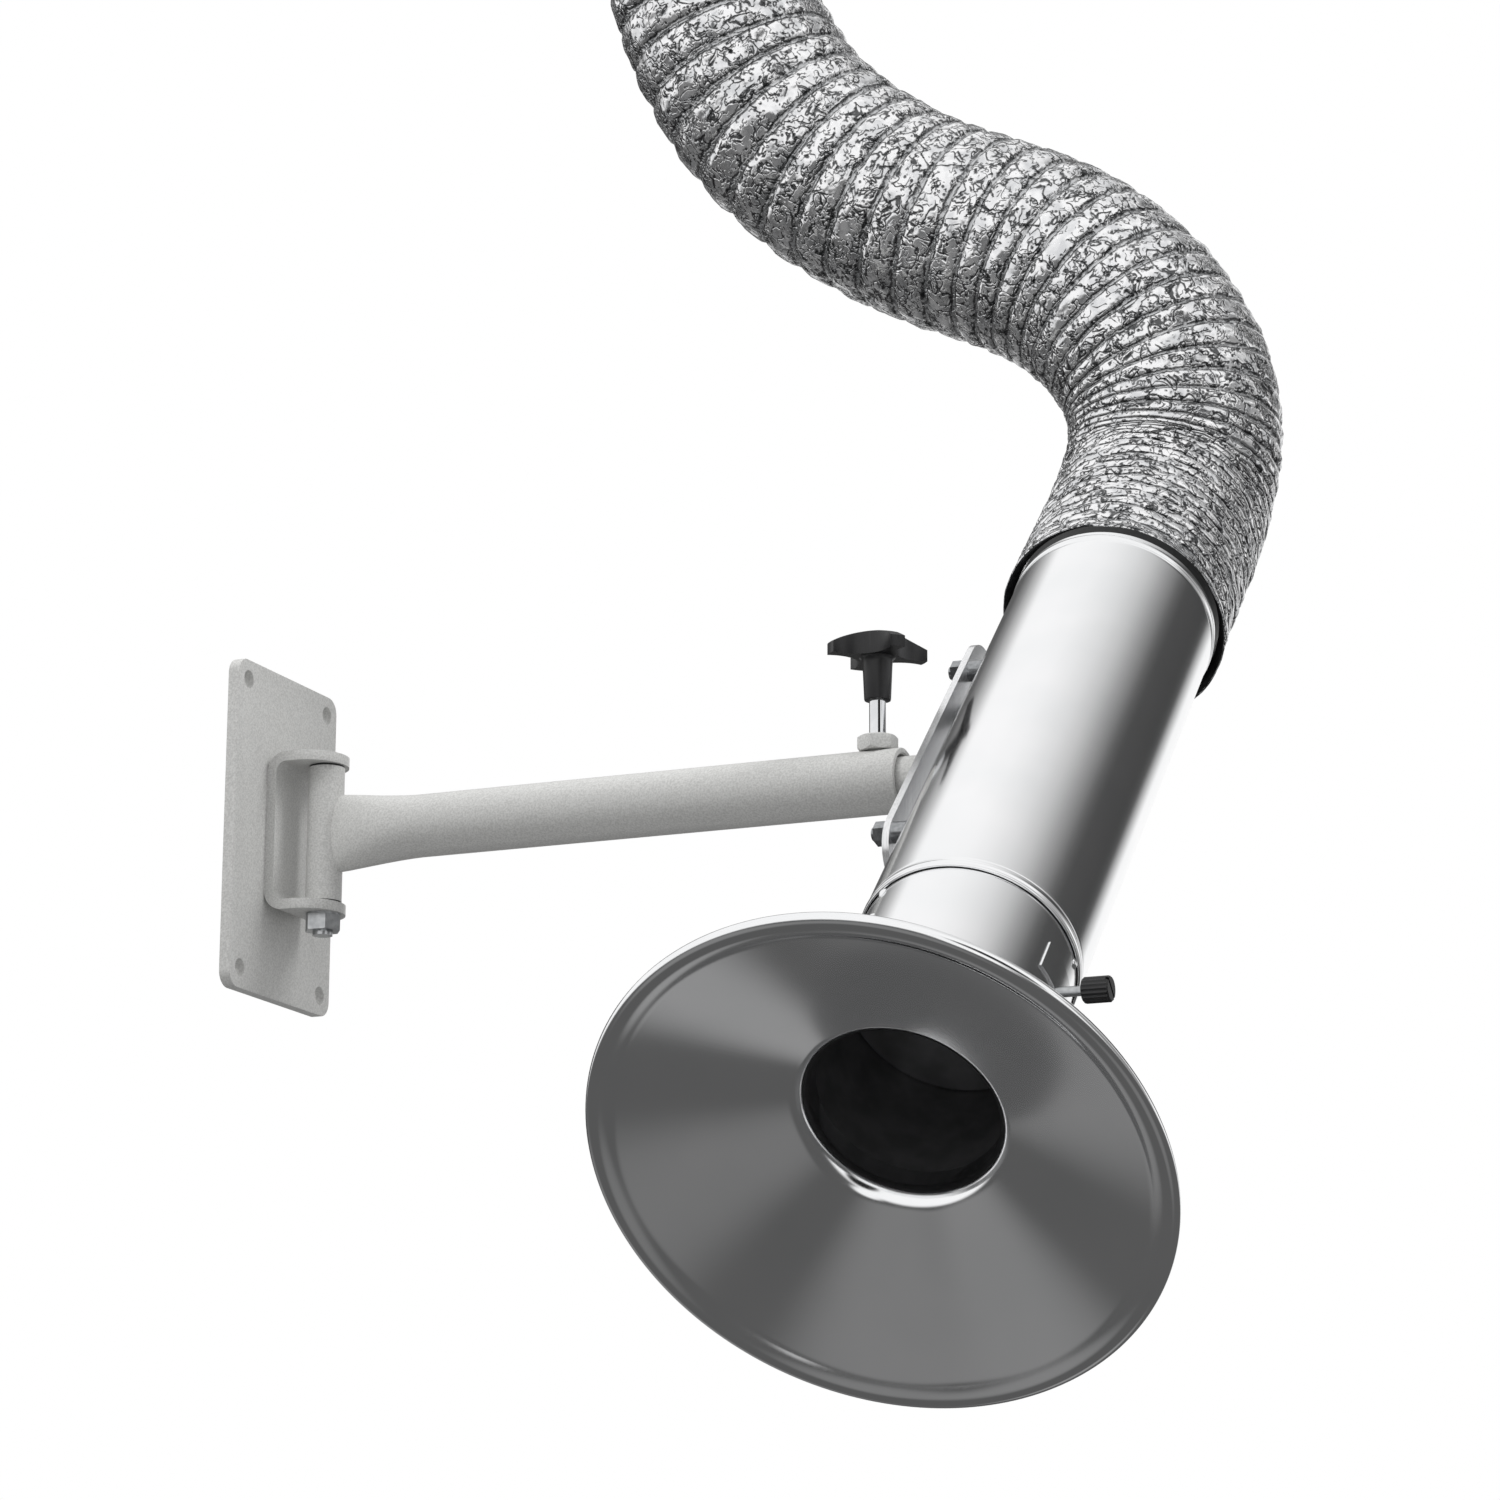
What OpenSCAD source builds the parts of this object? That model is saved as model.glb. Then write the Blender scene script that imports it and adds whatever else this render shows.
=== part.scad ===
// Swivelling fume extraction arm for a wall: a hinged tube carries a polished duct with
// a cone hood, a damper and a ribbed foil hose.
// Millimetres. +Z is up, +X runs out from the wall and the origin is the middle of the
// wall plate's back face. The arm lies along +X and the hood faces down and towards -Y.

/* [Wall plate] */
// Width of the wall plate
plate_w = 100; // [80:1:160]
// Height of the wall plate
plate_h = 165; // [150:1:240]
// Thickness of the wall plate
plate_t = 6; // [4:0.5:10]
// Corner radius of the wall plate
plate_corner_r = 8; // [3:0.5:15]
// Diameter of the four screw holes
screw_hole_d = 9; // [5:0.5:12]
// Distance of the screw holes from the plate's edges
screw_inset = 10; // [8:0.5:20]

/* [Hinge] */
// Width of the bent hinge bracket
bracket_w = 38; // [30:1:50]
// Thickness of the bracket's flat bar
bracket_t = 5; // [3:0.5:8]
// Clear height between the bracket's two ears
bracket_gap = 70; // [50:1:100]
// Inner radius of the bracket's bends
bracket_bend_r = 5; // [2:0.5:10]
// Distance of the hinge axis from the wall
hinge_x = 29; // [24:0.5:40]
// Diameter of the hinge bolt
hinge_bolt_d = 10; // [6:1:14]
// Outer diameter of the hinge barrel
barrel_d = 18; // [15:0.5:26]
// Thickness of the flanges of the plastic bushes
bush_flange_t = 1; // [0.5:0.1:3]
// Wall of the plastic bushes
bush_wall = 1; // [0.8:0.1:2]

/* [Arm tube] */
// Outer diameter of the arm tube
arm_d = 31; // [26:0.5:40]
// Wall of the arm tube
arm_wall = 3; // [2:0.25:4]
// Distance of the arm's open mouth from the wall
arm_mouth_x = 338; // [250:1:500]
// Half height of the flattened root where it meets the barrel
root_half_h = 20; // [17:0.25:21]
// Distance from the wall at which the flattened root is round again
root_end_x = 82; // [60:1:120]
// Length of the plastic guide sleeve inside the arm
sleeve_len = 48; // [20:1:90]

/* [Clamp screw] */
// Distance of the clamp screw from the arm's mouth
clamp_inset = 13.6; // [10:0.1:30]
// Width across flats of the welded nut
clamp_nut_af = 17; // [13:0.5:19]
// Height of the welded nut
clamp_nut_h = 9; // [6:0.5:12]
// Diameter of the clamp screw
clamp_screw_d = 8; // [5:0.5:10]
// Bare length of the screw between the nut and the grip
clamp_rod_len = 15.5; // [8:0.5:30]
// Height of the grip's neck
grip_neck_h = 21; // [10:0.5:30]
// Diameter across the grip's lobes
grip_d = 49; // [30:1:70]
// Height of the grip's head at its lobe ends
grip_lobe_h = 5.5; // [4:0.5:12]

/* [Duct] */
// Diameter of the spindle on which the duct turns
spindle_d = 22.5; // [18:0.25:28]
// Gap between the arm's mouth and the support plate
mouth_gap = 12.9; // [4:0.1:40]
// Outer diameter of the duct pipe
pipe_d = 100; // [80:1:160]
// Wall of the duct pipe, the sleeve and the hood
sheet_t = 1; // [0.8:0.1:2]
// Length of the duct pipe from the arm's axis up to its bead
pipe_up = 130; // [100:1:200]
// Length of the duct pipe from the arm's axis down to its lower edge
pipe_down = 158; // [100:1:250]
// Length of the pipe's spigot inside the hose
spigot_len = 42; // [20:1:60]
// Tilt of the duct from upright
duct_tilt = 45; // [0:1:90]

/* [Support plate] */
// Width of the support plate
strap_w = 35; // [28:0.5:50]
// Thickness of the support plate
strap_t = 3.3; // [2:0.1:6]
// Reach of the support plate above the arm's axis
strap_up = 104.5; // [60:0.5:110]
// Reach of the support plate below the arm's axis
strap_down = 80; // [60:0.5:110]
// Gap between the support plate and the nearest line of the pipe
strap_gap = 6.8; // [3:0.1:20]
// Diameter of the bolts through the support plate
strap_bolt_d = 6; // [4:0.5:8]
// Distance between the two bolts of a pair, across the plate
strap_bolt_spread = 24; // [16:0.5:28]

/* [Hood] */
// Play between the duct pipe and the hood's sleeve inside it
neck_play = 0.4; // [0.2:0.1:1]
// Distance of the hood's throat from the pipe's lower edge
throat_reach = 114.3; // [60:0.1:160]
// Diameter of the hood over its rolled rim
hood_d = 251; // [180:1:350]
// Depth of the hood's cone
hood_depth = 37.7; // [20:0.1:90]
// Radius of the rolled rim
rim_r = 4.65; // [2:0.05:8]
// Step from the sleeve's bore in to the throat
throat_step = 5.1; // [2:0.1:15]
// Radius of the bend between the throat and the cone
throat_bend_r = 6; // [3:0.5:12]

/* [Damper] */
// Distance of the damper's axis from the pipe's lower edge
damper_reach = 30.3; // [20:0.1:60]
// Diameter of the damper's shaft
shaft_d = 4.5; // [3:0.1:8]
// Diameter of the damper's knob
knob_d = 11.5; // [8:0.5:25]
// Length of the damper's knob
knob_len = 12.3; // [8:0.1:30]
// Number of ribs round the damper's knob
knob_ribs = 18; // [6:1:30]

/* [Hose] */
// Thickness of the hose from the duct pipe's outside to the top of its ribs
hose_wall = 4.5; // [4:0.1:9]
// Depth of the hose's ribs
hose_rib = 2.4; // [1:0.1:3]
// Ribs along each span of the hose's route, which is about 50 mm long
hose_ribs = 3; // [2:1:4]

/* [Hidden] */
$fn = 72;
// A running fit, a seat between pieces of one body, and the overrun of every cut
fit = 0.05;
seat = 0.02;
over = 1;
// Half a turn and a full turn, and the sides of the widest round pieces and of hexagons
half_turn = 180;
full_turn = 360;
sheet_sides = 144;
hexagon_sides = 6;

// Wall plate and bracket
plate_x = plate_t;
ear_z = bracket_gap / 2;
bend_out_r = bracket_bend_r + bracket_t;
ear_reach = 10;
ear_end_x = hinge_x + ear_reach;
bolt_play = 0.2;
bolt_hole_d = hinge_bolt_d + bolt_play;
washer_d = 17;
washer_t = 0.8;
hinge_nut_af = 16;
hinge_nut_h = 8;
hinge_nut_turn = 6;
hinge_nut_chamfer_share = 0.56;
bolt_end = 2.2;
bolt_head_h = 1.5;
bolt_head_d = 17;
bolt_dome_share = 1.2;

// Barrel and bushes
bush_play = 0.1;
barrel_half = ear_z - bush_flange_t - bush_play;
bush_out_d = hinge_bolt_d + 2 * fit + 2 * bush_wall;
bush_len = 12;
bush_flange_d = barrel_d - bush_wall;

// Arm
arm_r = arm_d / 2;
arm_bore_r = arm_r - arm_wall;
bore_lead = 10;
bore_start_x = root_end_x - bore_lead;
root_inset = 2;
root_sides = 64;
root_rings = 10;
root_skin = 0.05;
root_ease = 1.3;
root_lap = 2;
sleeve_inset = 22;
sleeve_end_x = arm_mouth_x - sleeve_inset;
sleeve_start_x = sleeve_end_x - sleeve_len;

// Clamp: its heights follow the arm's tube and the spindle
clamp_x = arm_mouth_x - clamp_inset;
clamp_hole_play = 1;
clamp_hole_d = clamp_screw_d + clamp_hole_play;
nut_sink = 0.3;
nut_low_z = arm_r - nut_sink;
nut_top_z = nut_low_z + clamp_nut_h;
nut_chamfer_share = 0.5;
grip_low_z = nut_top_z + clamp_rod_len;
grip_neck_low_r = 6.4;
grip_neck_top_r = 7.3;
grip_head_z = grip_low_z + grip_neck_h;
grip_lobes = 4;
grip_crown = 6.5;
grip_hollow_r = 16;
grip_hollow_place = 26.5;
tip_d = 6.4;
tip_t = 3;
tip_pin_d = 3;
tip_pin_h = 2.5;
tip_gap = 0.1;

// Duct: its own frame has z down the flow, x away from the arm and y up
pipe_r = pipe_d / 2;
strap_x = arm_mouth_x + mouth_gap;
duct_x = strap_x + strap_t + strap_gap + pipe_r;
spindle_r = spindle_d / 2;
spindle_tail = 30;
spindle_start_x = sleeve_start_x - spindle_tail;
spindle_chamfer = 1;
bead_w = 4.4;
bead_h = 0.5;
groove_w = 0.9;
groove_h = 0.35;
pipe_top = -pipe_up - spigot_len;

// Support plate, in the duct's frame
strap_in_x = strap_x - duct_x;
strap_end_r = strap_w / 2;
strap_bolt_inset_up = 28.5;
strap_bolt_inset_down = 14;
strap_bolt_rows = [strap_bolt_inset_up - strap_up, strap_down - strap_bolt_inset_down];
strap_nut_af = 10;
strap_nut_h = 5;
strap_bolt_end = 1.8;
spacer_d = 10;
bolt_head_rim = 6;
bolt_dome_h = 2.6;

// Hood, in the duct's frame. Its neck and cone would meet at the throat's height and radius
neck_r = pipe_r - sheet_t - neck_play;
neck_lap = 40;
throat_z = pipe_down + throat_reach;
rim_z = throat_z + hood_depth;
rim_place_r = hood_d / 2 - rim_r;
throat_r = neck_r - sheet_t - throat_step;
throat_neck_h = 10;
throat_bend_steps = 8;
cone_angle = atan2(hood_depth, rim_place_r - throat_r);
bend_start_z = throat_z - throat_bend_r * tan((half_turn / 2 - cone_angle) / 2);
rivet_r = 2.5;
rivet_h = 1.3;
rivet_gap = 2.6;
rivet_pitch = 19;
rivet_z = pipe_down + rivet_gap;
rivet_angles = [125, -5, -120];

// Damper, in the duct's frame
damper_z = pipe_down + damper_reach;
shaft_r = shaft_d / 2;
blade_gap = 0.8;
blade_r = neck_r - sheet_t - blade_gap;
blade_t = 1.2;
knob_gap = 12;
knob_x = neck_r + knob_gap;
knob_chamfer = 1.2;
knob_rib_r = 0.7;
knob_rib_sides = 8;
knob_slot_w = 1.4;
knob_slot_depth = 1.5;
blade_screw_d = 3;
blade_screw_head_d = 5.6;
blade_screw_head_h = 1.4;
blade_screw_place = 24;
bearing_up = 14;
bearing_down = 3.2;
bearing_half = 16.8;
bearing_t = 1;
shaft_tail = 4;

// Hose: its route is a smooth curve drawn by points, which it passes close to. The first
// ones lie on the duct's axis, and the others are measured from the last of those
hose_gap = 0.1;
lead_step = 41.486;
lead_points = [
    for (k = [-1:3]) let (s = pipe_up + hose_gap + k * lead_step)
        [duct_x, s * sin(duct_tilt), s * cos(duct_tilt)]
];
lead_end = lead_points[len(lead_points) - 1];
hose_places = [
    [9, 5, 50],
    [-16, 0, 100],
    [-61, 0, 140],
    [-116, -5, 160],
    [-166, -5, 190],
    [-211, -15, 230],
    [-236, -25, 280],
    [-251, -30, 335],
    [-256, -30, 385],
    [-256, -30, 435],
    [-256, -30, 485],
    [-256, -30, 535],
    [-256, -30, 585]
];
hose_route = concat(lead_points, [for (place = hose_places) lead_end + place]);
// Along one rib: the place and the height of its rings, from one crease to the next
rib_place_shares = [0, 0.18, 0.5, 0.82];
rib_height_shares = [0, 0.8, 1, 0.8];
hose_sides = 18;
hose_play = 0.3;
hose_bore_r = (pipe_r + hose_play) / cos(half_turn / hose_sides);
hose_flare = 2.5;
crease_r = pipe_r + hose_wall - hose_rib;
hose_spans = len(hose_route) - 3;
hose_rings = hose_spans * hose_ribs;
hose_end = hose_point(hose_spans);
route_step = 0.01;

// Outlet collar at the hose's far end
collar_spigot_len = 60;
collar_flange_w = 23;
collar_flange_t = 2;
collar_hole_d = 5.5;
collar_hole_inset = 8;
collar_hole_count = 4;
collar_gap = 0.3;
collar_flange_r = pipe_r + collar_flange_w;

// A point of the route's cubic spline: u counts its spans from the hose's lower end
function hose_span(u) = min(floor(u), hose_spans - 1);
function spline(p, i, t) =
    (pow(1 - t, 3) * p[i] + (3 * pow(t, 3) - 6 * t * t + 4) * p[i + 1]
    + (3 * t + 3 * t * t - 3 * pow(t, 3) + 1) * p[i + 2] + pow(t, 3) * p[i + 3]) / 6;
function hose_point(u) = spline(hose_route, hose_span(u), u - hose_span(u));
function unit(v) = v / norm(v);
function hose_way(u) =
    unit(hose_point(min(u + route_step, hose_spans)) - hose_point(max(u - route_step, 0)));
// One point of a ring round the route. The route never runs along Y, so Y sets its sides
function ring_point(u, r, k) = let (
    way = hose_way(u),
    side = unit(cross(way, [0, 1, 0])),
    up = cross(way, side),
    a = full_turn * k / hose_sides
) hose_point(u) + r * (cos(a) * side + sin(a) * up);
function ring(u, r) = [for (k = [0:hose_sides - 1]) ring_point(u, r, k)];
function hose_length(n) = n == 0 ? 0 : hose_length(n - 1)
    + norm(hose_point(n / hose_ribs) - hose_point((n - 1) / hose_ribs));
// Triangles between the rings of a closed chain, whose last ring joins the first
function skin_faces(rings, sides) = [
    for (i = [0:rings - 1], k = [0:sides - 1], half = [0, 1])
        let (
            n = (i + 1) % rings,
            m = (k + 1) % sides,
            a = i * sides + k,
            b = i * sides + m,
            c = n * sides + k,
            d = n * sides + m
        ) half == 0 ? [a, b, c] : [b, d, c]
];

echo(hose_length_mm = hose_length(hose_rings), hose_end = hose_end);

// A rectangle with round corners, centred, standing on z = 0
module rounded_plate(w, h, t, r) {
    linear_extrude(t) {
        square([w - 2 * r, h], center = true);
        square([w, h - 2 * r], center = true);
        for (x = [-1, 1], y = [-1, 1]) {
            translate([x * (w / 2 - r), y * (h / 2 - r)]) circle(r);
        }
    }
}

// A cylinder along +X from x0 to x1
module rod_x(x0, x1, r) {
    translate([x0, 0, 0]) rotate([0, 90, 0]) cylinder(h = x1 - x0, r = r);
}

// A hexagonal prism by its width across flats
module hexagon(af, h) {
    cylinder(h = h, d = af / cos(half_turn / hexagon_sides), $fn = hexagon_sides);
}

module on_wall() {
    rotate([90, 0, 90]) children();
}

// The duct's frame: z runs down the flow, towards the hood
module on_duct() {
    translate([duct_x, 0, 0]) rotate([half_turn - duct_tilt, 0, 0]) children();
}

module wall_plate() {
    color("#c6c5c1") on_wall() difference() {
        rounded_plate(plate_w, plate_h, plate_t, plate_corner_r);
        for (x = [-1, 1], y = [-1, 1]) {
            translate([x * (plate_w / 2 - screw_inset), y * (plate_h / 2 - screw_inset), -over])
                cylinder(h = plate_t + 2 * over, d = screw_hole_d);
        }
    }
}

// Side profile of one half of the bent bar: half the web, a bend and an ear
module bracket_profile() {
    square_x = ear_end_x - plate_x;
    square([bracket_t, ear_z - bracket_bend_r]);
    translate([bend_out_r, ear_z - bracket_bend_r]) intersection() {
        difference() {
            circle(bend_out_r);
            circle(bracket_bend_r);
        }
        translate([-bend_out_r, 0]) square(bend_out_r);
    }
    translate([bend_out_r, ear_z]) square([square_x - bend_out_r, bracket_t]);
}

module hinge_bracket() {
    ear_r = bracket_w / 2;
    tall = 2 * (ear_z + bracket_t) + 2 * over;
    color("#c6c5c1") difference() {
        intersection() {
            translate([plate_x, 0, 0]) rotate([90, 0, 0])
                linear_extrude(bracket_w, center = true) {
                    bracket_profile();
                    mirror([0, 1]) bracket_profile();
                }
            union() {
                translate([ear_end_x - ear_r, 0, -tall / 2]) cylinder(h = tall, r = ear_r);
                translate([plate_x - over, -ear_r - over, -tall / 2])
                    cube([ear_end_x - ear_r - plate_x + over, bracket_w + 2 * over, tall]);
            }
        }
        translate([hinge_x, 0, -tall / 2]) cylinder(h = tall, d = bolt_hole_d);
    }
}

module hinge_bolt() {
    top = ear_z + bracket_t;
    low = -top - washer_t - hinge_nut_h - bolt_end;
    dome_r = bolt_head_d * bolt_dome_share;
    color("#8d9095") translate([hinge_x, 0, 0]) {
        translate([0, 0, low]) cylinder(h = top + seat - low, d = hinge_bolt_d);
        translate([0, 0, top + seat]) intersection() {
            cylinder(h = bolt_head_h, d = bolt_head_d);
            translate([0, 0, bolt_head_h - dome_r]) sphere(dome_r);
        }
    }
}

module hinge_nut() {
    low = -ear_z - bracket_t - washer_t - hinge_nut_h;
    crown = hinge_nut_af * hinge_nut_chamfer_share;
    color("#a7a9ac") translate([hinge_x, 0, low]) difference() {
        intersection() {
            rotate([0, 0, hinge_nut_turn]) hexagon(hinge_nut_af, hinge_nut_h - seat);
            cylinder(h = hinge_nut_h, r1 = crown, r2 = crown + hinge_nut_h);
        }
        translate([0, 0, -over]) cylinder(h = hinge_nut_h + 2 * over, d = hinge_bolt_d + 2 * seat);
    }
}

module hinge_washers() {
    color("#b4b6b8") translate([hinge_x, 0, -ear_z - bracket_t - washer_t]) difference() {
        cylinder(h = washer_t - seat, d = washer_d);
        translate([0, 0, -over]) cylinder(h = washer_t + 2 * over, d = bolt_hole_d);
    }
}

module hinge_barrel() {
    color("#c6c5c1") translate([hinge_x, 0, -barrel_half]) difference() {
        cylinder(h = 2 * barrel_half, d = barrel_d);
        translate([0, 0, -over]) cylinder(h = 2 * (barrel_half + over), d = bush_out_d + 2 * seat);
    }
}

module hinge_bushes() {
    bore = hinge_bolt_d + 2 * fit;
    color("#2a2b2c") translate([hinge_x, 0, 0]) for (side = [-1, 1]) {
        translate([0, 0, side * barrel_half]) mirror([0, 0, side < 0 ? 1 : 0]) difference() {
            union() {
                translate([0, 0, seat]) cylinder(h = bush_flange_t, d = bush_flange_d);
                translate([0, 0, -bush_len]) cylinder(h = bush_len + bush_flange_t, d = bush_out_d);
            }
            translate([0, 0, -bush_len - over])
                cylinder(h = bush_len + bush_flange_t + 2 * over, d = bore);
        }
    }
}

// Half height and half width of the flattened root: the two keep the tube's perimeter
function root_h(t) = arm_r + root_skin + (root_half_h - arm_r) * pow(1 - t, root_ease);
function root_w(t) = sqrt(2 * pow(arm_r + root_skin, 2) - pow(root_h(t), 2));
function root_ring(x, t) = [
    for (k = [0:root_sides - 1]) let (a = full_turn * k / root_sides)
        [x, root_w(t) * cos(a), root_h(t) * sin(a)]
];

// The flattened root as one closed form of oval rings, from inside the barrel
module root_form() {
    start_x = hinge_x + root_inset;
    step = (root_end_x - start_x) / root_rings;
    rings = [
        for (i = [0:root_rings]) root_ring(start_x + i * step, i / root_rings),
        root_ring(root_end_x + root_lap, 1)
    ];
    count = len(rings);
    walls = [
        for (i = [0:count - 2], k = [0:root_sides - 1])
            let (m = (k + 1) % root_sides, a = i * root_sides, b = (i + 1) * root_sides)
            each [[a + k, b + k, a + m], [a + m, b + k, b + m]]
    ];
    first = [for (k = [0:root_sides - 1]) k];
    last = [for (k = [root_sides - 1:-1:0]) (count - 1) * root_sides + k];
    polyhedron([for (r = rings, p = r) p], concat(walls, [first, last]));
}

module arm_tube() {
    color("#c6c5c1") difference() {
        union() {
            root_form();
            rod_x(root_end_x - root_lap, arm_mouth_x, arm_r);
        }
        translate([hinge_x, 0, -ear_z]) cylinder(h = bracket_gap, d = barrel_d + 2 * seat);
        rod_x(bore_start_x, arm_mouth_x + over, arm_bore_r);
        translate([clamp_x, 0, 0]) cylinder(h = arm_d, d = clamp_hole_d);
    }
}

module clamp_nut() {
    color("#c6c5c1") difference() {
        translate([clamp_x, 0, nut_low_z]) intersection() {
            hexagon(clamp_nut_af, clamp_nut_h);
            cylinder(
                h = clamp_nut_h,
                r1 = clamp_nut_af * nut_chamfer_share + clamp_nut_h,
                r2 = clamp_nut_af * nut_chamfer_share
            );
        }
        rod_x(clamp_x - clamp_nut_af, clamp_x + clamp_nut_af, arm_r + seat);
        translate([clamp_x, 0, 0]) cylinder(h = nut_top_z + over, d = clamp_screw_d + 2 * fit);
    }
}

module guide_sleeve() {
    color("#d9d7cf") difference() {
        rod_x(sleeve_start_x, sleeve_end_x, arm_bore_r - seat);
        rod_x(sleeve_start_x - over, sleeve_end_x + over, spindle_r + fit);
    }
}

// Brass tip that the screw presses on the spindle; a pin keeps it in the screw's end
module clamp_tip() {
    color("#b99a52") translate([clamp_x, 0, 0]) difference() {
        union() {
            translate([0, 0, spindle_r - over])
                cylinder(h = tip_t + over, d = tip_d);
            translate([0, 0, spindle_r]) cylinder(h = tip_t + tip_pin_h, d = tip_pin_d);
        }
        rod_x(-tip_d, tip_d, spindle_r + tip_gap);
    }
}

module clamp_screw() {
    low = spindle_r + tip_t + fit;
    color("#d8dadd") translate([clamp_x, 0, 0]) difference() {
        translate([0, 0, low])
            cylinder(h = grip_low_z + grip_neck_h / 2 - low, d = clamp_screw_d);
        translate([0, 0, low - over])
            cylinder(h = tip_pin_h + over + 2 * fit, d = tip_pin_d + 2 * fit);
    }
}

// Four-lobed head under a dome, on a tapered neck
module clamp_grip() {
    head_r = grip_d / 2;
    dome_r = (head_r * head_r + grip_crown * grip_crown) / (2 * grip_crown);
    head_h = grip_lobe_h + grip_crown;
    color("#1c1c1d") translate([clamp_x, 0, 0]) difference() {
        union() {
            translate([0, 0, grip_low_z])
                cylinder(h = grip_neck_h + over, r1 = grip_neck_low_r, r2 = grip_neck_top_r);
            intersection() {
                translate([0, 0, grip_head_z]) difference() {
                    cylinder(h = head_h, r = head_r);
                    for (k = [0:grip_lobes - 1]) {
                        rotate([0, 0, full_turn * k / grip_lobes])
                            translate([grip_hollow_place, 0, -over])
                            cylinder(h = head_h + 2 * over, r = grip_hollow_r);
                    }
                }
                translate([0, 0, grip_head_z + head_h - dome_r]) sphere(dome_r, $fn = sheet_sides);
            }
        }
        cylinder(h = grip_low_z + grip_neck_h / 2 + seat, d = clamp_screw_d + 2 * seat);
    }
}

module duct_spindle() {
    color("#c6c5c1") {
        rod_x(spindle_start_x + spindle_chamfer, strap_x - seat, spindle_r);
        translate([spindle_start_x, 0, 0]) rotate([0, 90, 0])
            cylinder(h = spindle_chamfer, r1 = spindle_r - spindle_chamfer, r2 = spindle_r);
    }
}

module support_plate() {
    color("#d6d9dc") on_duct() translate([strap_in_x, 0, 0]) rotate([0, 90, 0]) difference() {
        linear_extrude(strap_t) {
            translate([-strap_down + strap_end_r, -strap_end_r])
                square([strap_up + strap_down - strap_w, strap_w]);
            translate([strap_up - strap_end_r, 0]) circle(strap_end_r);
            translate([strap_end_r - strap_down, 0]) circle(strap_end_r);
        }
        for (z = strap_bolt_rows, side = [-1, 1]) {
            translate([-z, side * strap_bolt_spread / 2, -over])
                cylinder(h = strap_t + 2 * over, d = strap_bolt_d + 2 * fit);
        }
    }
}

// Places along each of the four bolts: their axes lie along x
module at_bolts() {
    on_duct() for (z = strap_bolt_rows, side = [-1, 1]) {
        translate([0, side * strap_bolt_spread / 2, z]) children();
    }
}

// Mushroom-headed bolts from inside the pipe out through the plate
module plate_bolts() {
    half_spread = strap_bolt_spread / 2;
    head_x = fit - sqrt(pow(pipe_r - sheet_t, 2) - pow(half_spread + bolt_head_rim, 2));
    tail_x = strap_in_x - strap_nut_h - strap_bolt_end;
    color("#b9bbbe") at_bolts() {
        rod_x(tail_x, head_x + bolt_dome_h / 2, strap_bolt_d / 2);
        translate([head_x, 0, 0]) rotate([0, 90, 0]) {
            cylinder(h = bolt_dome_h / 2, r = bolt_head_rim);
            translate([0, 0, bolt_dome_h / 2])
                cylinder(h = bolt_dome_h / 2, r1 = bolt_head_rim, r2 = strap_bolt_d / 2);
        }
    }
}

module plate_nuts() {
    color("#9fa2a6") at_bolts() {
        translate([strap_in_x - strap_nut_h, 0, 0]) rotate([0, 90, 0]) difference() {
            hexagon(strap_nut_af, strap_nut_h - seat);
            translate([0, 0, -over]) cylinder(h = strap_nut_h + 2 * over, d = strap_bolt_d + 2 * fit);
        }
    }
}

module plate_spacers() {
    start_x = strap_in_x + strap_t + seat;
    color("#b9bbbe") on_duct() difference() {
        for (z = strap_bolt_rows, side = [-1, 1]) {
            translate([0, side * strap_bolt_spread / 2, z]) difference() {
                rod_x(start_x, start_x + strap_gap + spacer_d, spacer_d / 2);
                rod_x(start_x - over, 0, strap_bolt_d / 2 + fit);
            }
        }
        translate([0, 0, -strap_up]) cylinder(h = strap_up + strap_down, r = pipe_r + seat);
    }
}

// The pipe's wall from its spigot to its lower edge, with a bead and a groove at each end
module pipe_profile() {
    inner = pipe_r - sheet_t;
    high = -pipe_up;
    low = pipe_down;
    polygon([
        [inner, pipe_top],
        [pipe_r, pipe_top],
        [pipe_r, high],
        [pipe_r + bead_h, high + bead_h],
        [pipe_r + bead_h, high + bead_w - bead_h],
        [pipe_r, high + bead_w],
        [pipe_r - groove_h, high + bead_w],
        [pipe_r - groove_h, high + bead_w + groove_w],
        [pipe_r, high + bead_w + groove_w],
        [pipe_r, low - bead_w - groove_w],
        [pipe_r - groove_h, low - bead_w - groove_w],
        [pipe_r - groove_h, low - bead_w],
        [pipe_r, low - bead_w],
        [pipe_r + bead_h / 2, low - bead_w + bead_h / 2],
        [pipe_r + bead_h / 2, low - bead_h / 2],
        [pipe_r, low],
        [inner, low]
    ]);
}

module duct_pipe() {
    color("#dfe2e5") on_duct() difference() {
        rotate_extrude($fn = sheet_sides) pipe_profile();
        for (z = strap_bolt_rows, side = [-1, 1]) {
            translate([0, side * strap_bolt_spread / 2, z])
                rod_x(-pipe_r - over, -pipe_r / 2, strap_bolt_d / 2 + fit);
        }
    }
}

// Heights of the cone's two faces at radius r
function cone_face(r) = throat_z + (r - throat_r) * tan(cone_angle);
function cone_back(r) = cone_face(r) - sheet_t / cos(cone_angle);

module hood_sleeve() {
    top = pipe_down - neck_lap;
    low = cone_back(neck_r - sheet_t) - seat;
    color("#d6d9dc") on_duct() difference() {
        translate([0, 0, top]) cylinder(h = low - top, r = neck_r, $fn = sheet_sides);
        translate([0, 0, top - over])
            cylinder(h = low - top + 2 * over, r = neck_r - sheet_t, $fn = sheet_sides);
        translate([0, 0, damper_z]) rod_x(-pipe_r, pipe_r, shaft_r + fit);
    }
}

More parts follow.
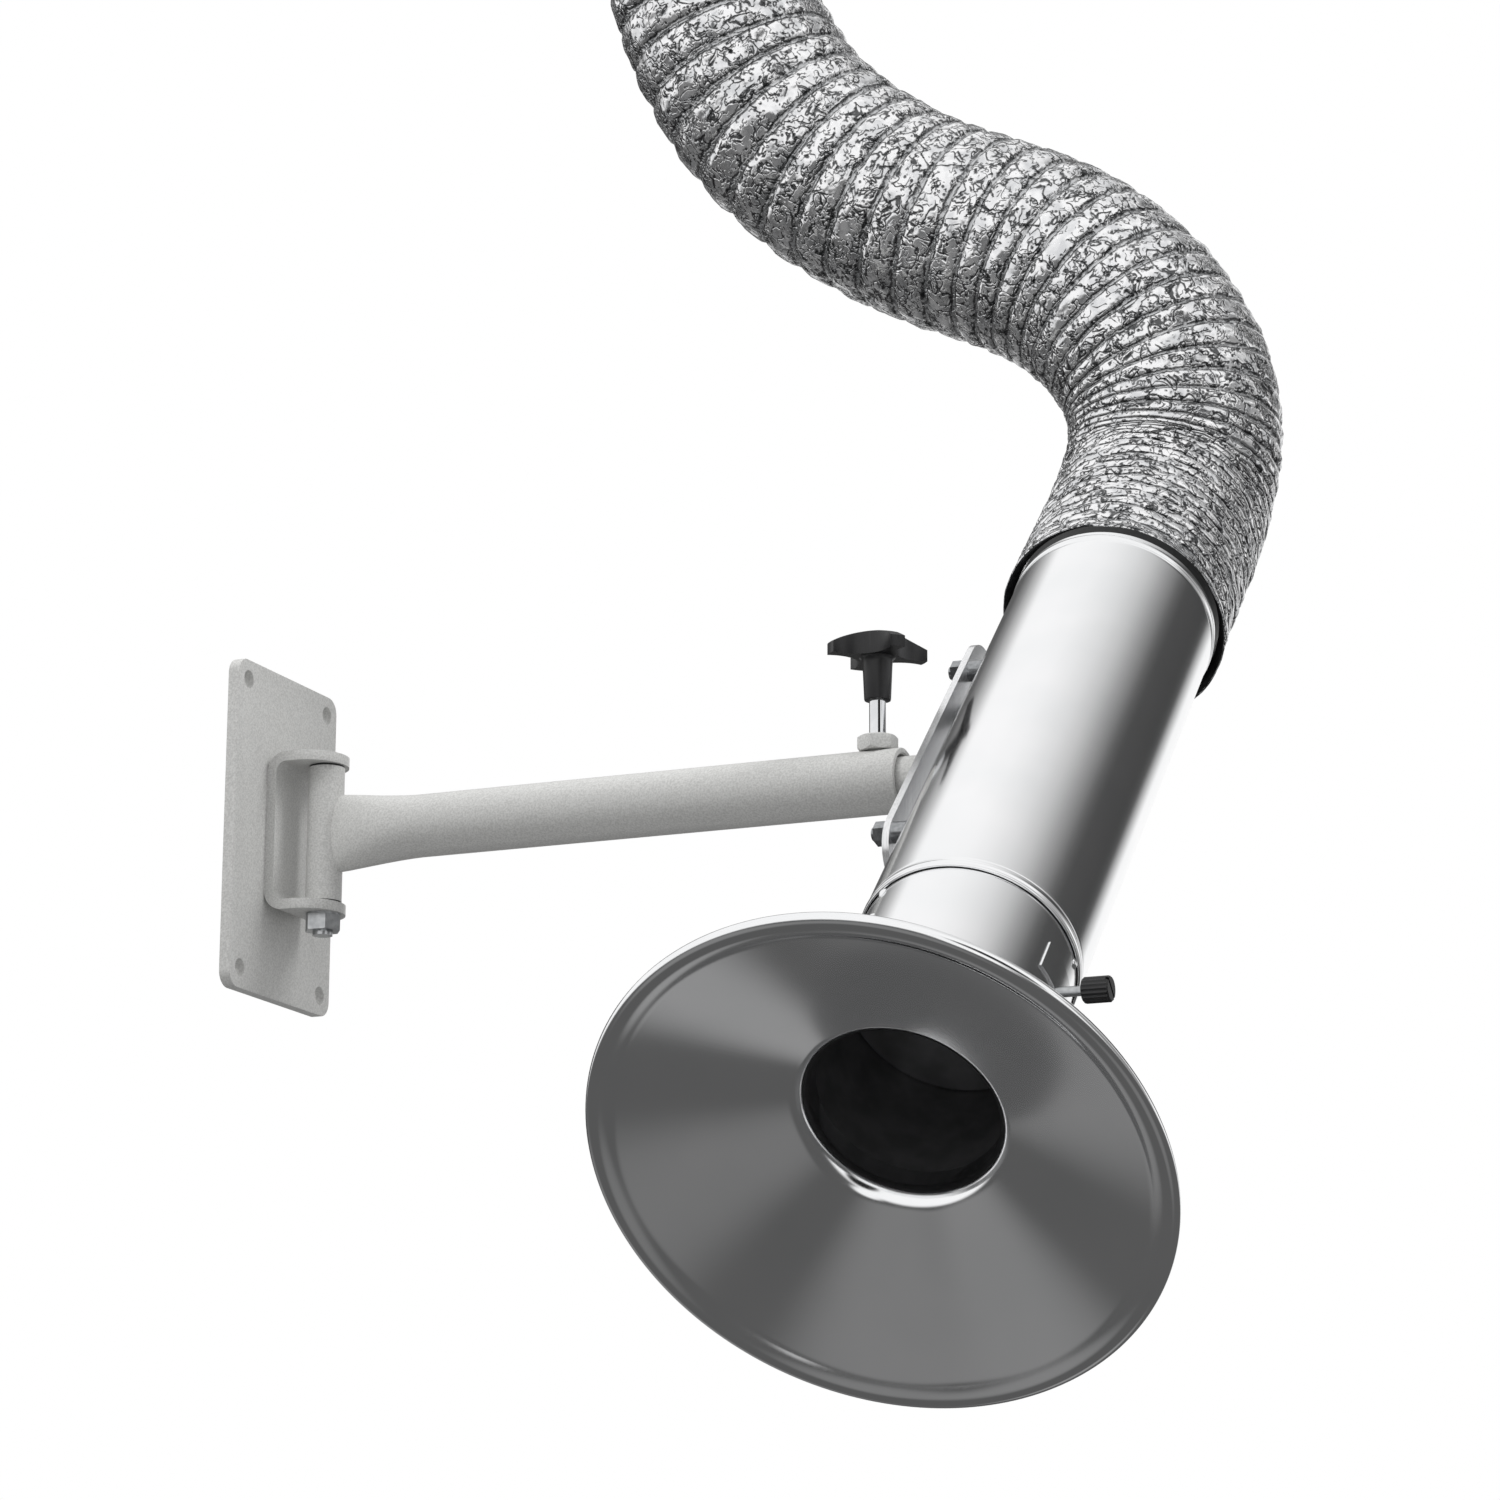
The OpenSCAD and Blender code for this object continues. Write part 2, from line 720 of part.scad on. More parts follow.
module rivet(angle, z) {
    dome_r = (rivet_r * rivet_r + rivet_h * rivet_h) / (2 * rivet_h);
    rotate([0, 0, angle]) translate([neck_r + seat, 0, z]) difference() {
        translate([rivet_h - dome_r, 0, 0]) sphere(dome_r);
        translate([-2 * dome_r, -dome_r - over, -dome_r - over])
            cube([2 * dome_r, 2 * (dome_r + over), 2 * (dome_r + over)]);
    }
}

module hood_rivets() {
    color("#c9ccd0") on_duct() {
        for (a = rivet_angles) rivet(a, rivet_z);
        rivet(rivet_angles[0], rivet_z + rivet_pitch);
    }
}

// The sheet's section: the throat's neck, the bend and the cone up to the rim
module hood_section() {
    reach = rim_place_r - rim_r / 2;
    top = bend_start_z - throat_neck_h;
    turn = (half_turn / 2 - cone_angle) / throat_bend_steps;
    function bend(r) = [
        for (i = [0:throat_bend_steps]) [
            throat_r + throat_bend_r - r * cos(i * turn),
            bend_start_z + r * sin(i * turn)
        ]
    ];
    back = bend(throat_bend_r - sheet_t);
    polygon([
        [throat_r, top],
        each bend(throat_bend_r),
        [reach, cone_face(reach)],
        [reach, cone_back(reach)],
        for (i = [throat_bend_steps:-1:0]) back[i],
        [throat_r + sheet_t, top]
    ]);
}

// One spun sheet with a rim rolled to a bead
module hood() {
    color("#dfe2e5") on_duct() {
        rotate_extrude($fn = sheet_sides) hood_section();
        rotate_extrude($fn = sheet_sides)
            translate([rim_place_r, rim_z - rim_r / 4]) circle(rim_r);
    }
}

// Thin saddle on the sleeve through which the damper's shaft comes out
module damper_bearing() {
    color("#c9ccd0") on_duct() difference() {
        intersection() {
            translate([0, 0, damper_z - bearing_up])
                cylinder(h = bearing_up + bearing_down, r = neck_r + bearing_t, $fn = sheet_sides);
            translate([0, -bearing_half, damper_z - bearing_up])
                cube([pipe_d, 2 * bearing_half, bearing_up + bearing_down]);
        }
        translate([0, 0, damper_z - bearing_up - over])
            cylinder(h = bearing_up + bearing_down + 2 * over, r = neck_r + fit, $fn = sheet_sides);
        translate([0, 0, damper_z]) rod_x(0, pipe_d, shaft_r + fit);
    }
}

// Round shaft, milled flat where the blade lies on it
module damper_shaft() {
    color("#b9bbbe") on_duct() translate([0, 0, damper_z]) difference() {
        rod_x(-neck_r - shaft_tail, knob_x + knob_len / 2, shaft_r);
        translate([-blade_r - blade_gap / 2, -shaft_d, 0])
            cube([2 * blade_r + blade_gap, 2 * shaft_d, shaft_d]);
        for (side = [-1, 1]) {
            translate([side * blade_screw_place, 0, -shaft_d])
                cylinder(h = 2 * shaft_d, d = blade_screw_d + 2 * seat);
        }
    }
}

module damper_blade() {
    color("#c9ccd0") on_duct() translate([0, 0, damper_z + seat]) difference() {
        cylinder(h = blade_t, r = blade_r);
        for (side = [-1, 1]) {
            translate([side * blade_screw_place, 0, -over])
                cylinder(h = blade_t + 2 * over, d = blade_screw_d + 2 * seat);
        }
    }
}

module damper_screws() {
    color("#9fa2a6") on_duct() translate([0, 0, damper_z]) for (side = [-1, 1]) {
        translate([side * blade_screw_place, 0, -shaft_r])
            cylinder(h = shaft_r + blade_t + 2 * seat, d = blade_screw_d);
        translate([side * blade_screw_place, 0, blade_t + 2 * seat])
            cylinder(h = blade_screw_head_h, d1 = blade_screw_head_d, d2 = blade_screw_d);
    }
}

module damper_knob() {
    r = knob_d / 2;
    color("#1c1c1d") on_duct() translate([knob_x, 0, damper_z]) rotate([0, 90, 0]) difference() {
        union() {
            cylinder(h = knob_chamfer, r1 = r - knob_chamfer, r2 = r);
            translate([0, 0, knob_chamfer]) cylinder(h = knob_len - 2 * knob_chamfer, r = r);
            translate([0, 0, knob_len - knob_chamfer])
                cylinder(h = knob_chamfer, r1 = r, r2 = r - knob_chamfer);
        }
        for (k = [0:knob_ribs - 1]) {
            rotate([0, 0, full_turn * k / knob_ribs]) translate([r + knob_rib_r / 2, 0, -over])
                cylinder(h = knob_len + 2 * over, r = knob_rib_r, $fn = knob_rib_sides);
        }
        translate([-knob_slot_w / 2, -r, knob_len - knob_slot_depth])
            cube([knob_slot_w, knob_d, knob_slot_depth + over]);
        translate([0, 0, -over]) cylinder(h = knob_len / 2 + over + seat, r = shaft_r + seat);
    }
}

// Ribbed tube with its bore: full ribs between narrow creases outside, and a plain bore
module hose() {
    outer = [
        for (i = [0:hose_rings - 1], k = [0:len(rib_place_shares) - 1])
            ring(
                (i + rib_place_shares[k]) / hose_ribs,
                crease_r + hose_rib * rib_height_shares[k] + (i + k == 0 ? hose_flare : 0)
            ),
        ring(hose_spans, crease_r)
    ];
    inner = [for (i = [hose_rings:-1:0]) ring(i / hose_ribs, hose_bore_r)];
    rings = concat(outer, inner);
    color("#cfd1d2") polyhedron(
        [for (r = rings, p = r) p],
        skin_faces(len(rings), hose_sides)
    );
}

// The last two pieces stand where the hose ends, with z along its far end
module on_outlet() {
    translate([hose_end[0], hose_end[1], hose_end[2] + collar_gap]) children();
}

// Round spigot on which the hose's far end sits
module outlet_collar() {
    color("#c9ccd0") on_outlet() translate([0, 0, -collar_spigot_len]) difference() {
        cylinder(h = collar_spigot_len + collar_flange_t, r = pipe_r);
        translate([0, 0, -over])
            cylinder(h = collar_spigot_len + collar_flange_t + 2 * over, r = pipe_r - sheet_t);
    }
}

// Screw flange that is welded round the spigot
module outlet_flange() {
    color("#c9ccd0") on_outlet() difference() {
        cylinder(h = collar_flange_t, r = collar_flange_r);
        translate([0, 0, -over]) cylinder(h = collar_flange_t + 2 * over, r = pipe_r + seat);
        for (k = [0:collar_hole_count - 1]) {
            rotate([0, 0, full_turn * (k + 1 / 2) / collar_hole_count])
                translate([collar_flange_r - collar_hole_inset, 0, -over])
                cylinder(h = collar_flange_t + 2 * over, d = collar_hole_d);
        }
    }
}

wall_plate();
hinge_bracket();
hinge_bolt();
hinge_nut();
hinge_washers();
hinge_barrel();
hinge_bushes();
arm_tube();
clamp_nut();
guide_sleeve();
clamp_tip();
clamp_screw();
clamp_grip();
duct_spindle();
support_plate();
plate_bolts();
plate_nuts();
plate_spacers();
duct_pipe();
hood_sleeve();
hood_rivets();
hood();
damper_bearing();
damper_shaft();
damper_blade();
damper_screws();
damper_knob();
hose();
outlet_collar();
outlet_flange();
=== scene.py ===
import math

import bmesh
import bpy
from mathutils import Matrix, Vector, noise


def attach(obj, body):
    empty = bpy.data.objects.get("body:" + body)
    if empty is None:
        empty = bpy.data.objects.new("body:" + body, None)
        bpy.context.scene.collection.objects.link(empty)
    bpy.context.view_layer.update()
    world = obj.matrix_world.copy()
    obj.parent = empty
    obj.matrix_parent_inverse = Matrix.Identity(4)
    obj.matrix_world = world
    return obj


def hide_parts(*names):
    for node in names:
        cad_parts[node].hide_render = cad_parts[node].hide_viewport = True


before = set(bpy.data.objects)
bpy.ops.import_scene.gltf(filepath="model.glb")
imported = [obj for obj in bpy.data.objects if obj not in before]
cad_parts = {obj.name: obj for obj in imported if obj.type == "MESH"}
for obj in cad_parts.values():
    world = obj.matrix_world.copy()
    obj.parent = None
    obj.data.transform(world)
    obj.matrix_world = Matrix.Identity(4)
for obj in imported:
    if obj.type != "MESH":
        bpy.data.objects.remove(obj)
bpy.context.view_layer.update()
print("frame loaded:", len(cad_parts), "nodes")

mm = 0.001
mergeGap = 0.002 * mm


cameraSet = {
    "place": (1.08286, -1.89725, -0.48484),
    "yaw": 0.4098,
    "pitch": 0.2403,
    "roll": 0.0045,
    "lens": 107.0,
    "sensor": 36.0,
    "near": 0.05,
    "far": 40,
}


def makeCamera(s):
    data = bpy.data.cameras.new("camera")
    data.lens = s["lens"]
    data.sensor_width = s["sensor"]
    data.clip_start = s["near"]
    data.clip_end = s["far"]
    camera = bpy.data.objects.new("camera", data)
    bpy.context.scene.collection.objects.link(camera)
    turn = Matrix.Rotation(s["yaw"], 4, "Z") @ Matrix.Rotation(math.pi / 2 + s["pitch"], 4, "X")
    camera.matrix_world = Matrix.Translation(s["place"]) @ turn @ Matrix.Rotation(s["roll"], 4, "Z")
    bpy.context.scene.camera = camera


makeCamera(cameraSet)
bpy.context.view_layer.update()
print("camera made")


# Heights on the duct are measured from the arm's axis towards the hood. It leans 45 degrees, and
# ductAxis points up along it.
ductSet = {"place": (411, 0, 0), "turn": 135, "sides": 160, "damperAt": 188.3}
ductAxis = Vector((0, math.sqrt(0.5), math.sqrt(0.5)))


# The route repeats the points of the CAD hose: five on the duct's axis, 41.486 mm apart and the
# second of them 130.1 mm up, and the others measured from the last of those.
hoseSet = {
    "leadStart": 130.1,
    "leadStep": 41.486,
    "places": [
        (9, 5, 50), (-16, 0, 100), (-61, 0, 140), (-116, -5, 160), (-166, -5, 190),
        (-211, -15, 230), (-236, -25, 280), (-251, -30, 335), (-256, -30, 385), (-256, -30, 435),
        (-256, -30, 485), (-256, -30, 535), (-256, -30, 585),
    ],
    "exit": (0.437, 0.092, 0.092),
    "length": 0.774,
    "diameter": 0.109,
    "crestRadius": 54.6,
    "boreRadius": 50.9,
    "mouthRadius": 54.9,
    "mouthFlare": 2.4,
    "flareFade": 1.4,
    "turnsPerSpan": 3.0,
    "grooveDepth": 2.8,
    # a higher number makes the grooves narrower, and the crown is how far the bulges are domed
    "grooveSharp": 5,
    "crown": 0.18,
    # the turns of wire stand closer by the duct, with shallower grooves
    "closeTurns": 2.6,
    "closeFrom": 3.0,
    "closeTo": 8.0,
    "closeShallow": 0.6,
    # over this many turns from each end the spiral straightens into plain rings
    "settleTurns": 1.5,
    # how unevenly the foil hangs between the turns, and its dents, with finer ones among them
    "slack": 0.6,
    "slackSize": 22,
    "dent": 0.95,
    "dentSize": 9.0,
    "fineDent": 0.5,
    "fineSize": 0.42,
    "endDent": 0.2,
    "ringsPerTurn": 12,
    "sides": 112,
    "boreSteps": 6,
    "pathSteps": 12,
}


def hoseRoute(s):
    lead = [
        Vector((ductSet["place"][0], d, d)) * mm
        for d in ((s["leadStart"] + k * s["leadStep"]) * math.sqrt(0.5) for k in range(-1, 4))
    ]
    return lead + [lead[-1] + Vector(p) * mm for p in s["places"]]


def splinePoint(points, u):
    # uniform cubic B-spline, u in spans
    i = min(int(u), len(points) - 4)
    t = u - i
    a = (1 - t) ** 3
    b = 3 * t ** 3 - 6 * t * t + 4
    c = 3 * t + 3 * t * t - 3 * t ** 3 + 1
    d = t ** 3
    return (a * points[i] + b * points[i + 1] + c * points[i + 2] + d * points[i + 3]) / 6


def routeFrame(points, u, nudge=0.01):
    spans = len(points) - 3
    place = splinePoint(points, u)
    way = splinePoint(points, min(u + nudge, spans)) - splinePoint(points, max(u - nudge, 0))
    way.normalize()
    side = way.cross(Vector((0, 1, 0))).normalized()
    return place, side, way.cross(side)


def grooveShape(s, phase):
    # 0 in the groove of the wire, 1 on the bulge of the foil between two turns
    t = abs(2 * (phase % 1) - 1)
    return (1 - t ** s["grooveSharp"]) * (1 - s["crown"] + s["crown"] * math.sin(math.pi * (phase % 1)))


def turnDensity(s, u):
    # turns of wire in a span of the route
    t = min(1, max(0, (u - s["closeFrom"]) / (s["closeTo"] - s["closeFrom"])))
    return s["turnsPerSpan"] + s["closeTurns"] * (1 - t * t * (3 - 2 * t))


def hoseSkin(s, mesh, points, stations):
    rings = len(stations) - 1
    outer = []
    for i, u in enumerate(stations):
        place, side, up = routeFrame(points, u)
        turnsIn = i / s["ringsPerTurn"]
        fromEnd = min(i, rings - i) / s["ringsPerTurn"]
        settle = min(1, fromEnd / s["settleTurns"])
        depth = s["grooveDepth"] * (s["turnsPerSpan"] / turnDensity(s, u)) ** s["closeShallow"]
        flare = s["mouthFlare"] * max(0, 1 - s["flareFade"] * turnsIn) ** 2
        row = []
        for k in range(s["sides"]):
            a = 2 * math.pi * k / s["sides"]
            out = math.cos(a) * side + math.sin(a) * up
            spot = place + out * s["crestRadius"] * mm
            dents = noise.noise(spot / (s["dentSize"] * mm))
            dents += s["fineDent"] * noise.noise(spot / (s["fineSize"] * s["dentSize"] * mm))
            slack = 1 + s["slack"] * noise.noise(spot / (s["slackSize"] * mm))
            groove = 1 - grooveShape(s, turnsIn + (k / s["sides"] - 0.5) * settle)
            radius = s["crestRadius"] - depth * slack * groove + flare
            radius += s["dent"] * dents * min(1, fromEnd + s["endDent"])
            row.append(mesh.verts.new(place + out * radius * mm))
        outer.append(row)
    return outer


def hoseBore(s, mesh, points):
    spans = len(points) - 3
    count = spans * s["boreSteps"]
    turns = [2 * math.pi * k / s["sides"] for k in range(s["sides"])]
    inner = []
    for i in range(count + 1):
        place, side, up = routeFrame(points, spans * i / count)
        bore = s["mouthRadius"] if i == 0 else s["boreRadius"]
        outs = [math.cos(a) * side + math.sin(a) * up for a in turns]
        inner.append([mesh.verts.new(place + out * bore * mm) for out in outs])
    return inner


def makeHose(s):
    points = hoseRoute(s)
    spans = len(points) - 3
    sides = s["sides"]
    stations = [0]
    while stations[-1] < spans:
        u = stations[-1]
        stations.append(u + 1 / (s["ringsPerTurn"] * turnDensity(s, u)))
    stations[-1] = spans
    rings = len(stations) - 1
    mesh = bmesh.new()
    along = mesh.loops.layers.uv.new("along")
    outer = hoseSkin(s, mesh, points, stations)
    inner = hoseBore(s, mesh, points)
    chain = outer + inner[::-1]
    for i in range(len(chain)):
        low = chain[i]
        high = chain[(i + 1) % len(chain)]
        for k in range(sides):
            m = (k + 1) % sides
            face = mesh.faces.new((low[k], low[m], high[m], high[k]))
            face.smooth = i < rings or i > rings + 1
            # the shaded gap between the hose's mouth and the pipe
            face.material_index = int(i == len(chain) - 2)
            if i < rings:
                corners = ((i, k), (i, k + 1), (i + 1, k + 1), (i + 1, k))
                for loop, (row, column) in zip(face.loops, corners):
                    loop[along].uv = (column / sides, row / s["ringsPerTurn"])
    bmesh.ops.recalc_face_normals(mesh, faces=mesh.faces)
    data = bpy.data.meshes.new("ribbedHose")
    mesh.to_mesh(data)
    mesh.free()
    hose = bpy.data.objects.new("ribbedHose", data)
    bpy.context.scene.collection.objects.link(hose)
    # the polished pipe doesn't mirror the hose or the collar above it
    hose.visible_glossy = False
    for name in ("outlet_collar", "outlet_flange"):
        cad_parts[name].visible_glossy = False
    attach(hose, "duct")
    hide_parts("hose")
    return hose


hose = makeHose(hoseSet)
print("hose made:", len(hose.data.polygons), "faces")


def startOutline(name, first):
    # a small plane merged to one vertex, from which an outline is extruded
    bpy.ops.object.select_all(action="DESELECT")
    bpy.ops.mesh.primitive_plane_add(size=mm)
    piece = bpy.context.object
    piece.name = name
    bpy.ops.object.mode_set(mode="EDIT")
    bpy.ops.mesh.select_mode(type="VERT")
    bpy.ops.mesh.select_all(action="SELECT")
    bpy.ops.mesh.merge(type="CENTER")
    bpy.ops.transform.translate(value=first)
    return piece


def drawOutline(points, plane):
    # points are pairs in mm, and plane says which axes they run along
    for last, point in zip(points, points[1:] + points[:1]):
        step = [0, 0, 0]
        step[plane[0]] = (point[0] - last[0]) * mm
        step[plane[1]] = (point[1] - last[1]) * mm
        bpy.ops.mesh.extrude_region_move(TRANSFORM_OT_translate={"value": step})
    bpy.ops.mesh.select_all(action="SELECT")
    bpy.ops.mesh.remove_doubles(threshold=mergeGap)
    bpy.ops.mesh.select_all(action="SELECT")


def endEdit(smoothAngle):
    bpy.ops.mesh.select_all(action="SELECT")
    bpy.ops.mesh.remove_doubles(threshold=mergeGap)
    bpy.ops.mesh.normals_make_consistent(inside=False)
    bpy.ops.object.mode_set(mode="OBJECT")
    bpy.ops.object.shade_smooth_by_angle(angle=math.radians(smoothAngle))


def lathed(name, points, sides, smoothAngle=40):
    # a closed section of radius and height, spun about Z
    piece = startOutline(name, (points[0][0] * mm, 0, points[0][1] * mm))
    drawOutline(points, (0, 2))
    bpy.ops.mesh.spin(steps=sides, angle=2 * math.pi, center=(0, 0, 0), axis=(0, 0, 1))
    endEdit(smoothAngle)
    return piece


def slab(name, points, plane, start, depth, smoothAngle=30):
    # a closed outline filled and extruded along the third axis
    axis = 3 - plane[0] - plane[1]
    first = [0, 0, 0]
    first[plane[0]] = points[0][0] * mm
    first[plane[1]] = points[0][1] * mm
    first[axis] = start * mm
    piece = startOutline(name, first)
    drawOutline(points, plane)
    bpy.ops.mesh.edge_face_add()
    way = [0, 0, 0]
    way[axis] = depth * mm
    bpy.ops.mesh.extrude_region_move(TRANSFORM_OT_translate={"value": way})
    endEdit(smoothAngle)
    return piece


def applyPlace():
    bpy.ops.object.transform_apply(location=True, rotation=True, scale=True)


def rod(name, place, radius, length, turn=(0, 0, 0), sides=48):
    bpy.ops.object.select_all(action="DESELECT")
    bpy.ops.mesh.primitive_cylinder_add(
        vertices=sides, radius=radius * mm, depth=length * mm,
        location=[c * mm for c in place], rotation=turn,
    )
    piece = bpy.context.object
    piece.name = name
    applyPlace()
    return piece


def only(piece):
    bpy.ops.object.select_all(action="DESELECT")
    piece.select_set(True)
    bpy.context.view_layer.objects.active = piece


def combine(piece, tool, operation):
    # the tool is used up
    only(piece)
    modifier = piece.modifiers.new("combine", "BOOLEAN")
    modifier.operation = operation
    modifier.object = tool
    modifier.solver = "EXACT"
    bpy.ops.object.modifier_apply(modifier=modifier.name)
    bpy.data.objects.remove(tool)


def roundEdges(piece, width, segments=3, angle=40, smoothAngle=30):
    only(piece)
    modifier = piece.modifiers.new("roundEdges", "BEVEL")
    modifier.width = width * mm
    modifier.segments = segments
    modifier.limit_method = "ANGLE"
    modifier.angle_limit = math.radians(angle)
    modifier.use_clamp_overlap = True
    bpy.ops.object.modifier_apply(modifier=modifier.name)
    bpy.ops.object.shade_smooth_by_angle(angle=math.radians(smoothAngle))


def bead(radius, place, width, height, count):
    # a soft bead (or groove, with a height below 0) round a pipe
    return [
        (
            radius + height * (0.5 - 0.5 * math.cos(2 * math.pi * i / count)),
            place + width * (i / count - 0.5),
        )
        for i in range(count + 1)
    ]


def smoothLine(points, steps):
    # Catmull-Rom through the points
    out = []
    for i in range(len(points) - 1):
        a, b, c, d = (Vector(points[min(max(i + k, 0), len(points) - 1)]) for k in (-1, 0, 1, 2))
        for j in range(steps):
            t = j / steps
            out.append(tuple(
                0.5 * (2 * b + (c - a) * t + (2 * a - 5 * b + 4 * c - d) * t * t
                       + (3 * b - a - 3 * c + d) * t ** 3)
            ))
    return out + [tuple(points[-1])]


def arc(centre, radius, start, end, count):
    return [
        (
            centre[0] + radius * math.cos(math.radians(start + (end - start) * i / count)),
            centre[1] + radius * math.sin(math.radians(start + (end - start) * i / count)),
        )
        for i in range(count + 1)
    ]


def placeOnDuct(piece, body="duct"):
    # a piece is made upright, its Z towards the hood, and is then turned with the duct
    only(piece)
    piece.rotation_euler = (math.radians(ductSet["turn"]), 0, 0)
    piece.location = [c * mm for c in ductSet["place"]]
    applyPlace()
    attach(piece, body)


# A bead is its place, width, height and steps
pipeSet = {
    "outer": 50,
    "inner": 49,
    "top": -172,
    "bottom": 158,
    "topBeads": [(-127.8, 4.4, 0.6, 8), (-124.9, 1.2, -0.3, 6)],
    "straight": (-122.4, 149.9),
    "endBeads": [(152.4, 1.2, -0.12, 6), (155.0, 3.2, 0.3, 8)],
    "lip": [(0, 157.3), (-0.1, 157.75), (-0.4, 158)],
    "shadeFrom": 132,
    # faces nearer to the axis than this radius are painted dark as the bore's shade
    "boreShadeRadius": 49.2,
}


def makePipe(s):
    outer, inner = s["outer"], s["inner"]
    points = [(inner, s["top"]), (outer, s["top"]), (outer, -s["shadeFrom"])]
    for row in s["topBeads"]:
        points += bead(outer, *row)
    # two more rings keep the shading of the long straight part true
    points += [(outer, at) for at in s["straight"]]
    for row in s["endBeads"]:
        points += bead(outer, *row)
    points += [(outer + out, at) for out, at in s["lip"]] + [(inner, s["bottom"])]
    piece = lathed("ductPipe", points, ductSet["sides"])
    placeOnDuct(piece)
    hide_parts("duct_pipe")
    return piece


neckSet = {
    "outer": 48.6,
    "inner": 47.6,
    "top": 118,
    "bottom": 273.6,
    "damperHole": 2.3,
    "holeReach": 10,
    # faces nearer to the axis than this radius are painted dark as the bore's shade
    "boreShadeRadius": 47.8,
}


def makeNeck(s):
    points = [(s["inner"], s["top"]), (s["outer"], s["top"])]
    points += [(s["outer"], s["bottom"]), (s["inner"], s["bottom"])]
    piece = lathed("hoodNeck", points, ductSet["sides"])
    length = 2 * s["outer"] + s["holeReach"]
    hole = rod("hole", (0, 0, ductSet["damperAt"]), s["damperHole"], length, (0, math.pi / 2, 0))
    combine(piece, hole, "DIFFERENCE")
    placeOnDuct(piece)
    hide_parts("hood_sleeve")
    return piece


# The rim's points are measured from its middle, along the cone's face and square to it
hoodSet = {
    "throatRadius": 41.2,
    "throatAt": 271.7,
    "bendRadius": 12,
    "bendSteps": 16,
    "neckLength": 9,
    "sheet": 1,
    "slope": 25.7,
    "rimRadius": 119.9,
    "rim": [
        (-8.6, 0), (-7.4, 0.03), (-6.2, 0.16), (-5, 0.38), (-3.7, 0.6), (-2.2, 0.74), (-0.6, 0.74),
        (0.9, 0.5), (2.2, 0), (3.3, -0.8), (4.1, -1.9), (4.5, -3.2), (4.3, -4.5), (3.6, -5.5),
        (2.4, -6.2), (1, -6.5), (-0.6, -6.4), (-2, -5.8), (-3.1, -4.7), (-3.7, -3.3),
        (-4.1, -2), (-4.9, -1.2), (-6, -1),
    ],
    "rimSteps": 3,
    "sides": 200,
    "smoothAngle": 50,
}


def makeHood(s):
    slope = math.radians(s["slope"])
    turn = math.pi / 2 - slope
    bend = s["bendRadius"]
    bendAt = s["throatAt"] - bend * math.tan(turn / 2)
    middle = s["throatRadius"] + bend
    turns = [turn * i / s["bendSteps"] for i in range(s["bendSteps"] + 1)]
    throat, throatBack = (
        [(middle - radius * math.cos(a), bendAt + radius * math.sin(a)) for a in turns]
        for radius in (bend, bend - s["sheet"])
    )
    rimAt = s["throatAt"] + (s["rimRadius"] - s["throatRadius"]) * math.tan(slope)
    rim = [
        (
            s["rimRadius"] + t * math.cos(slope) - n * math.sin(slope),
            rimAt + t * math.sin(slope) + n * math.cos(slope),
        )
        for t, n in smoothLine(s["rim"], s["rimSteps"])
    ]
    top = bendAt - s["neckLength"]
    points = [(s["throatRadius"], top)] + throat + rim + throatBack[::-1]
    points += [(s["throatRadius"] + s["sheet"], top)]
    piece = lathed("coneHood", points, s["sides"], s["smoothAngle"])
    placeOnDuct(piece)
    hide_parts("hood")
    return piece


pipe = makePipe(pipeSet)
hood = makeHood(hoodSet)
neck = makeNeck(neckSet)
print("duct pipe, hood and neck made")


gripSet = {
    "x": 324.4,
    "neckAt": 39.7,
    "neckHeight": 21,
    # the neck's outline as radius and height, above its foot and then above the head's underside
    "foot": [(0, 0), (5.6, 0), (6.2, 0.2), (6.4, 0.8)],
    "collar": [(7.15, -3), (7.3, -1.6), (7.8, -0.6), (8.9, 0.2), (8.9, 1), (0, 1)],
    "neckSides": 64,
    "headRadius": 24.5,
    "lobeHeight": 5.5,
    "lobeSteps": 8,
    "crown": 6.5,
    "crownSides": 128,
    "crownRings": 96,
    "hollowRadius": 16,
    "hollowAt": 26.5,
    "hollowSteps": 24,
    "edge": 1.1,
    "edgeAngle": 50,
    "smoothAngle": 35,
}


def gripOutline(s):
    # four hollows cut into a round head, and what is left between them
    head, hollow, far = s["headRadius"], s["hollowRadius"], s["hollowAt"]
    reach = (far ** 2 + head ** 2 - hollow ** 2) / (2 * far)
    rise = math.sqrt(head ** 2 - reach ** 2)
    lobeStart = math.degrees(math.acos(reach / head))
    hollowEnd = math.degrees(math.atan2(rise, far - reach))
    outline = []
    for k in range(4):
        middle = (far * math.cos(k * math.pi / 2), far * math.sin(k * math.pi / 2))
        turn = 90 * k
        outline += arc(middle, hollow, 180 + hollowEnd + turn, 180 - hollowEnd + turn, s["hollowSteps"])
        outline += arc((0, 0), head, lobeStart + turn, 90 - lobeStart + turn, s["lobeSteps"])[1:-1]
    return outline


